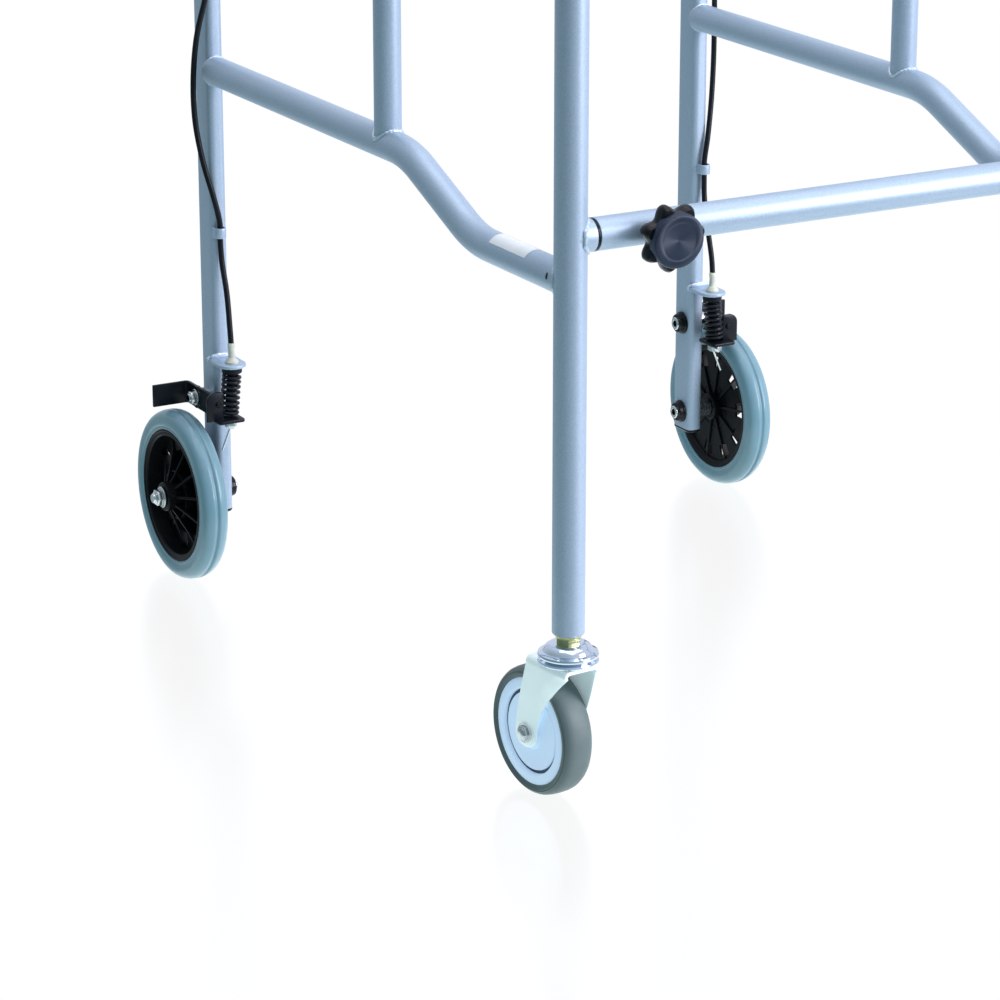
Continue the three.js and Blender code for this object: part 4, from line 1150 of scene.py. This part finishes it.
def caster_hub():
    def side(sign):
        return [(5.4, sign * 13.4), (12, sign * 13.4), (13, sign * 12.6), (14, sign * 10.6), (30.6, sign * 10.2),
                (31, sign * 8.6), (33.4, sign * 8.6), (33.8, sign * 11.6), (34.6, sign * 12.2),
                (40.6, sign * 12.2), (42, sign * 11.4)]

    disc = revolved("x", side(-1) + side(1)[::-1], 96)
    both_sides("caster_disc", disc, "hub_grey", "caster_wheel", "caster_hub", CASTER_WHEEL)
    # Dark rings laid in the hub's two grooves: painted shade.
    grooves = [moved(revolved("x", [(30.7, -0.3), (33.5, -0.3), (33.5, 0.3), (30.7, 0.3)], 96), sign * 8.7)
               for sign in (-1, 1)]
    both_sides("caster_groove", merged(*grooves), "groove_painted_shade", "caster_wheel", None, CASTER_WHEEL)


def caster_stem():
    place = Matrix.Translation((0, FRONT_Y, 0))
    cap = [(0, 120.4), (20.6, 120.4), (22.8, 121.2), (23.3, 122.4), (22.8, 123.8), (21.2, 124.6), (19.6, 125.2),
           (18.6, 126.6), (17.2, 128.6), (14.8, 130.2), (12.2, 130.9), (0, 131)]
    kingpin = [(0, 106.8), (7, 106.8), (8.4, 107.8), (8.4, 112.4), (0, 112.4)]
    cups = merged(revolved("z", cap, 72), revolved("z", kingpin, 32))
    both_sides("caster_raceway", cups, "bright_zinc", "frame", "caster_stem", place)
    nut = moved(slab(hexagon(17.5), 0, 4.4, "z", 0.7), z=130.6)
    flange = revolved("z", [(0, 134.4), (8.6, 134.4), (9.6, 135.2), (10.2, 136.6), (10.2, 138.6), (0, 138.6)], 40)
    both_sides("caster_nut", merged(nut, flange), "yellow_zinc", "frame", None, place)


def caster_fork():
    """A pressed sheet fork: one strip bent over the wheel, its cheeks tapering to round tips at the axle."""
    half, crown_top, sheet = 16.2, 114.6, 2.6
    bend = 5
    tip = 12.0
    profile = []
    low = CASTER_Z - tip + 0.02
    for k in range(40):
        z = low + (crown_top - bend - low) * k / 39
        profile.append((half, z))
    profile += [(half - bend + bend * math.cos(t), crown_top - bend + bend * math.sin(t))
                for t in (math.radians(90 * k / 8) for k in range(1, 9))]
    profile += [(half - bend - (half - bend) * k / 4, crown_top) for k in range(1, 5)]
    strip = profile + [(-x, z) for x, z in reversed(profile[:-1])]

    def reach(x, z):
        """Front and rear edges of a cheek at height z. The inboard cheek stays wide further down."""
        under = CASTER_Z - z
        if under > 0:
            spread = math.sqrt(max(tip**2 - under**2, 0.0))
            return CASTER_TRAIL - spread, CASTER_TRAIL + spread
        share = min(max((z - CASTER_Z) / (108 - CASTER_Z), 0.0), 1.0)
        taper = 1.75 if x > 0 else 0.4
        front = (CASTER_TRAIL - tip) + (-18 - CASTER_TRAIL + tip) * share**taper
        rear = CASTER_TRAIL + tip - (CASTER_TRAIL + tip - 32) * share**1.4
        return front, rear

    bm = bmesh.new()
    rows = []
    cuts = 14
    for x, z in strip:
        front, rear = reach(x, z)
        row = []
        for k in range(cuts + 1):
            v = front + (rear - front) * k / cuts
            crease = max(0.0, 1 - (v - front) / 14) if z < crown_top - bend else 0.0
            row.append(bm.verts.new((x - math.copysign(1.3 * crease**1.5, x) if crease else x, v, z)))
        rows.append(row)
    for lower, upper in zip(rows, rows[1:]):
        for k in range(cuts):
            bm.faces.new((lower[k], lower[k + 1], upper[k + 1], upper[k]))
    tidy(bm)
    bmesh.ops.solidify(bm, geom=bm.faces, thickness=sheet)
    soften(tidy(bm), 0.45, 2, 50)
    race = [(0, 114.2), (17, 114.2), (19, 115.2), (22.4, 116.2), (23.3, 117.4), (22.6, 118.6), (20.6, 119.2),
            (19.8, 120.1), (0, 120.1)]
    both_sides("caster_yoke", bm, "zinc_plate_painted_glow", "caster", "caster_fork", CASTER_FRAME)
    both_sides("caster_race", revolved("z", race, 72), "bright_zinc", "caster", None, CASTER_FRAME)
    bolt = merged(
        revolved("x", [(0, -18), (4.4, -18), (4.4, 18), (0, 18)], 24),
        moved(hex_nut(11, 3.2, 1.0), 16.4),
        moved(turned(hex_nut(11, 3.6), "Z", 180), -16.4),
        revolved("x", [(0, -17.4), (8, -17.4), (8, 17.4), (0, 17.4)], 36),
    )
    both_sides("caster_bolt", bolt, "bright_steel", "caster", "caster_axle", CASTER_WHEEL)


# ---------------------------------------------------------------- underarm supports
def support_post():
    path = [Vector((0, GUIDE_Y, z)) for z in (POST_FOOT_Z, 850, 1000, SADDLE_TOP - 6)]
    rings = []
    for z in range(int(GUIDE_TOP) + 22, int(SADDLE_TOP) - 40, 24):
        rings.append(moved(revolved("z", [(POST_R - 0.3, -0.7), (POST_R + 0.25, -0.3), (POST_R + 0.25, 0.3),
                                          (POST_R - 0.3, 0.7)], 40), y=GUIDE_Y, z=z))
    both_sides("post_tube", merged(tube(path, POST_R), *rings), "chrome", "support", "support_post")
    width, length = 46, 140
    plate = slab(rounded_rectangle(width, length, 12), SADDLE_TOP - 4.6, SADDLE_TOP, "z", 1.0, 3)
    gusset = slab([(-34, 0), (34, 0), (10, -24), (-10, -24)], -1.5, 1.5, "x", 0.8, 2)
    saddle = merged(moved(plate, y=GUIDE_Y), moved(gusset, y=GUIDE_Y, z=SADDLE_TOP - 4.2))
    both_sides("post_saddle", saddle, "black_coat", "support")
    bolts = []
    for y in (-52, 52):
        head = moved(turned(bolt_head(5, 3), "Y", 90), y=GUIDE_Y + y, z=SADDLE_TOP - 4.6)
        top = max(v.co.z for v in head.verts)
        bolts.append(moved(head, z=SADDLE_TOP - 4.6 - top))  # against the underside of the plate
    both_sides("saddle_bolts", merged(*bolts), "bright_steel", "support")


PAD_LOW = SADDLE_TOP + 0.3
SEAM_SHARE = 0.42  # how far up the pad its piping runs
PAD = {"half_width": 30, "half_top": 118, "height": 62, "dip": 16}


def pad_top(y):
    """Height of the pad's dished top at a distance y from its middle."""
    share = min(abs(y) / (PAD["half_top"] - 24), 1.0)
    return PAD["height"] - 2 - PAD["dip"] * (1 - share**2)


def pad_block(shrink):
    """The pad before it's stuffed: a crowned bar with a dished top, smaller than its space by `shrink`."""
    bm = bmesh.new()
    rows = []
    stations = 29
    half_width = PAD["half_width"] - shrink
    for k in range(stations):
        along = -1 + 2 * k / (stations - 1)
        y = along * (PAD["half_top"] - shrink)
        end = max(0.0, (abs(along) - 0.62) / 0.38)
        low = shrink * 0.4 + (PAD["height"] * 0.46) * end**2.2
        high = pad_top(y) - shrink - 22 * end**3.2
        width = half_width * math.sqrt(max(1 - 0.62 * end**3, 0.05))
        mid, tall = (low + high) / 2, max((high - low) / 2, 4)
        row = []
        for n in range(20):
            t = TAU * n / 20
            a = width * math.copysign(abs(math.cos(t)) ** 0.55, math.cos(t))
            b = tall * math.copysign(abs(math.sin(t)) ** 0.55, math.sin(t))
            row.append(Vector((a, y, mid + b)))
        rows.append(row)
    joined = add_rings(bm, rows)
    bm.faces.new(joined[0])
    bm.faces.new(joined[-1])
    return tidy(bm)


def stuffed(bm, cap=6.0):
    """Swells a closed block like a stuffed cover, by a short cloth run, and caps how far each point moves."""
    draft = make_object("pad_draft", bm, Matrix.Scale(MM, 4), ("pad_vinyl",))
    bpy.context.view_layer.objects.active = draft
    remesh = draft.modifiers.new("remesh", "REMESH")
    remesh.mode = "VOXEL"
    remesh.voxel_size = 0.005
    bpy.ops.object.modifier_apply(modifier=remesh.name)
    rest = [v.co.copy() for v in draft.data.vertices]
    cloth = draft.modifiers.new("cloth", "CLOTH")
    cloth.settings.use_pressure = True
    cloth.settings.uniform_pressure_force = 4
    cloth.settings.effector_weights.gravity = 0
    cloth.settings.tension_stiffness = 60
    cloth.settings.bending_stiffness = 4
    for number in range(1, 21):
        scene.frame_set(number)
    bpy.ops.object.modifier_apply(modifier=cloth.name)
    scene.frame_set(1)
    for vertex, start in zip(draft.data.vertices, rest):
        shift = vertex.co - start
        limit = cap * MM
        if shift.length > limit:
            vertex.co = start + shift.normalized() * limit
    swollen = bmesh.new()
    swollen.from_mesh(draft.data)
    bpy.data.objects.remove(draft)
    bmesh.ops.scale(swollen, vec=(1 / MM, 1 / MM, 1 / MM), verts=swollen.verts)
    return swollen


def fit_pad(bm):
    """Keeps the pad in its space: flat on the saddle plate, and inside the CAD pad's length, width and height."""
    half_width, half_top = PAD["half_width"] + 2, PAD["half_top"] + 2
    for vertex in bm.verts:
        vertex.co.z = min(max(vertex.co.z, 0.0), PAD["height"])
        vertex.co.x = min(max(vertex.co.x, -half_width), half_width)
        vertex.co.y = min(max(vertex.co.y, -half_top), half_top)
    return bm


def seam_line(bm, height):
    """Where the cover's seam runs: the pad's outline at a given height."""
    points = []
    count = 120
    verts = [v.co for v in bm.verts if abs(v.co.z - height(v.co.y)) < 5]
    for k in range(count):
        angle = TAU * k / count
        direction = Vector((math.cos(angle), math.sin(angle)))
        best = max(verts, key=lambda co: co.xy.normalized().dot(direction) * 1000 + co.xy.length * 0.2)
        points.append((direction, best.xy.length))
    smooth = []
    for k, (direction, _) in enumerate(points):
        near = [points[(k + n) % count][1] for n in range(-3, 4)]
        length = sum(near) / len(near)
        spot = direction * length
        smooth.append(Vector((spot.x, spot.y, height(spot.y))))
    return smooth


def underarm_pad():
    block = pad_block(4.5)
    soft = stuffed(block)
    fit_pad(soft)
    bmesh.ops.subdivide_edges(soft, edges=soft.edges, cuts=1, use_grid_fill=True, smooth=0.6)
    for _ in range(8):
        bmesh.ops.smooth_vert(soft, verts=soft.verts, factor=0.5, use_axis_x=True, use_axis_y=True,
                              use_axis_z=True)
    fit_pad(soft)
    place = Matrix.Translation((0, GUIDE_Y, PAD_LOW))
    piping = swept(seam_line(soft, lambda y: SEAM_SHARE * pad_top(y)), circle(1.7, 10), closed=True)
    pads = both_sides("pad_cover", soft, "pad_vinyl", "support", "underarm_pad", place, sharp=80)
    both_sides("pad_piping", piping, "piping_vinyl", "support", None, place)


# ---------------------------------------------------------------- build
build_studio()
for build in (front_leg, lower_rail, guide_tube, top_rail, rear_leg, leg_plug, cable_clip, side_welds, rail_label,
              rail_vents):
    build()
for level, z in CROSSBAR_Z.items():
    crossbar(level, z)
    width_knob(level, z)
height_knobs()
leg_bolt("pivot_bolt", "brake_pivot_bolt", PIVOT_Z, 16.8, 20.4, 10, 5.0, 28, 3.6)
leg_bolt("axle_bolt", "rear_axle_bolt", AXLE_Z, 22.3, 55.3, 13, 5.2, 65, 4.4)
for build in (brake_cable, brake_bracket, cable_adjuster, brake_spring, brake_arm, lever_bracket, brake_lever,
              hand_grip, rear_wheel, caster_tyre, caster_hub, caster_stem, caster_fork, support_post,
              underarm_pad):
    build()
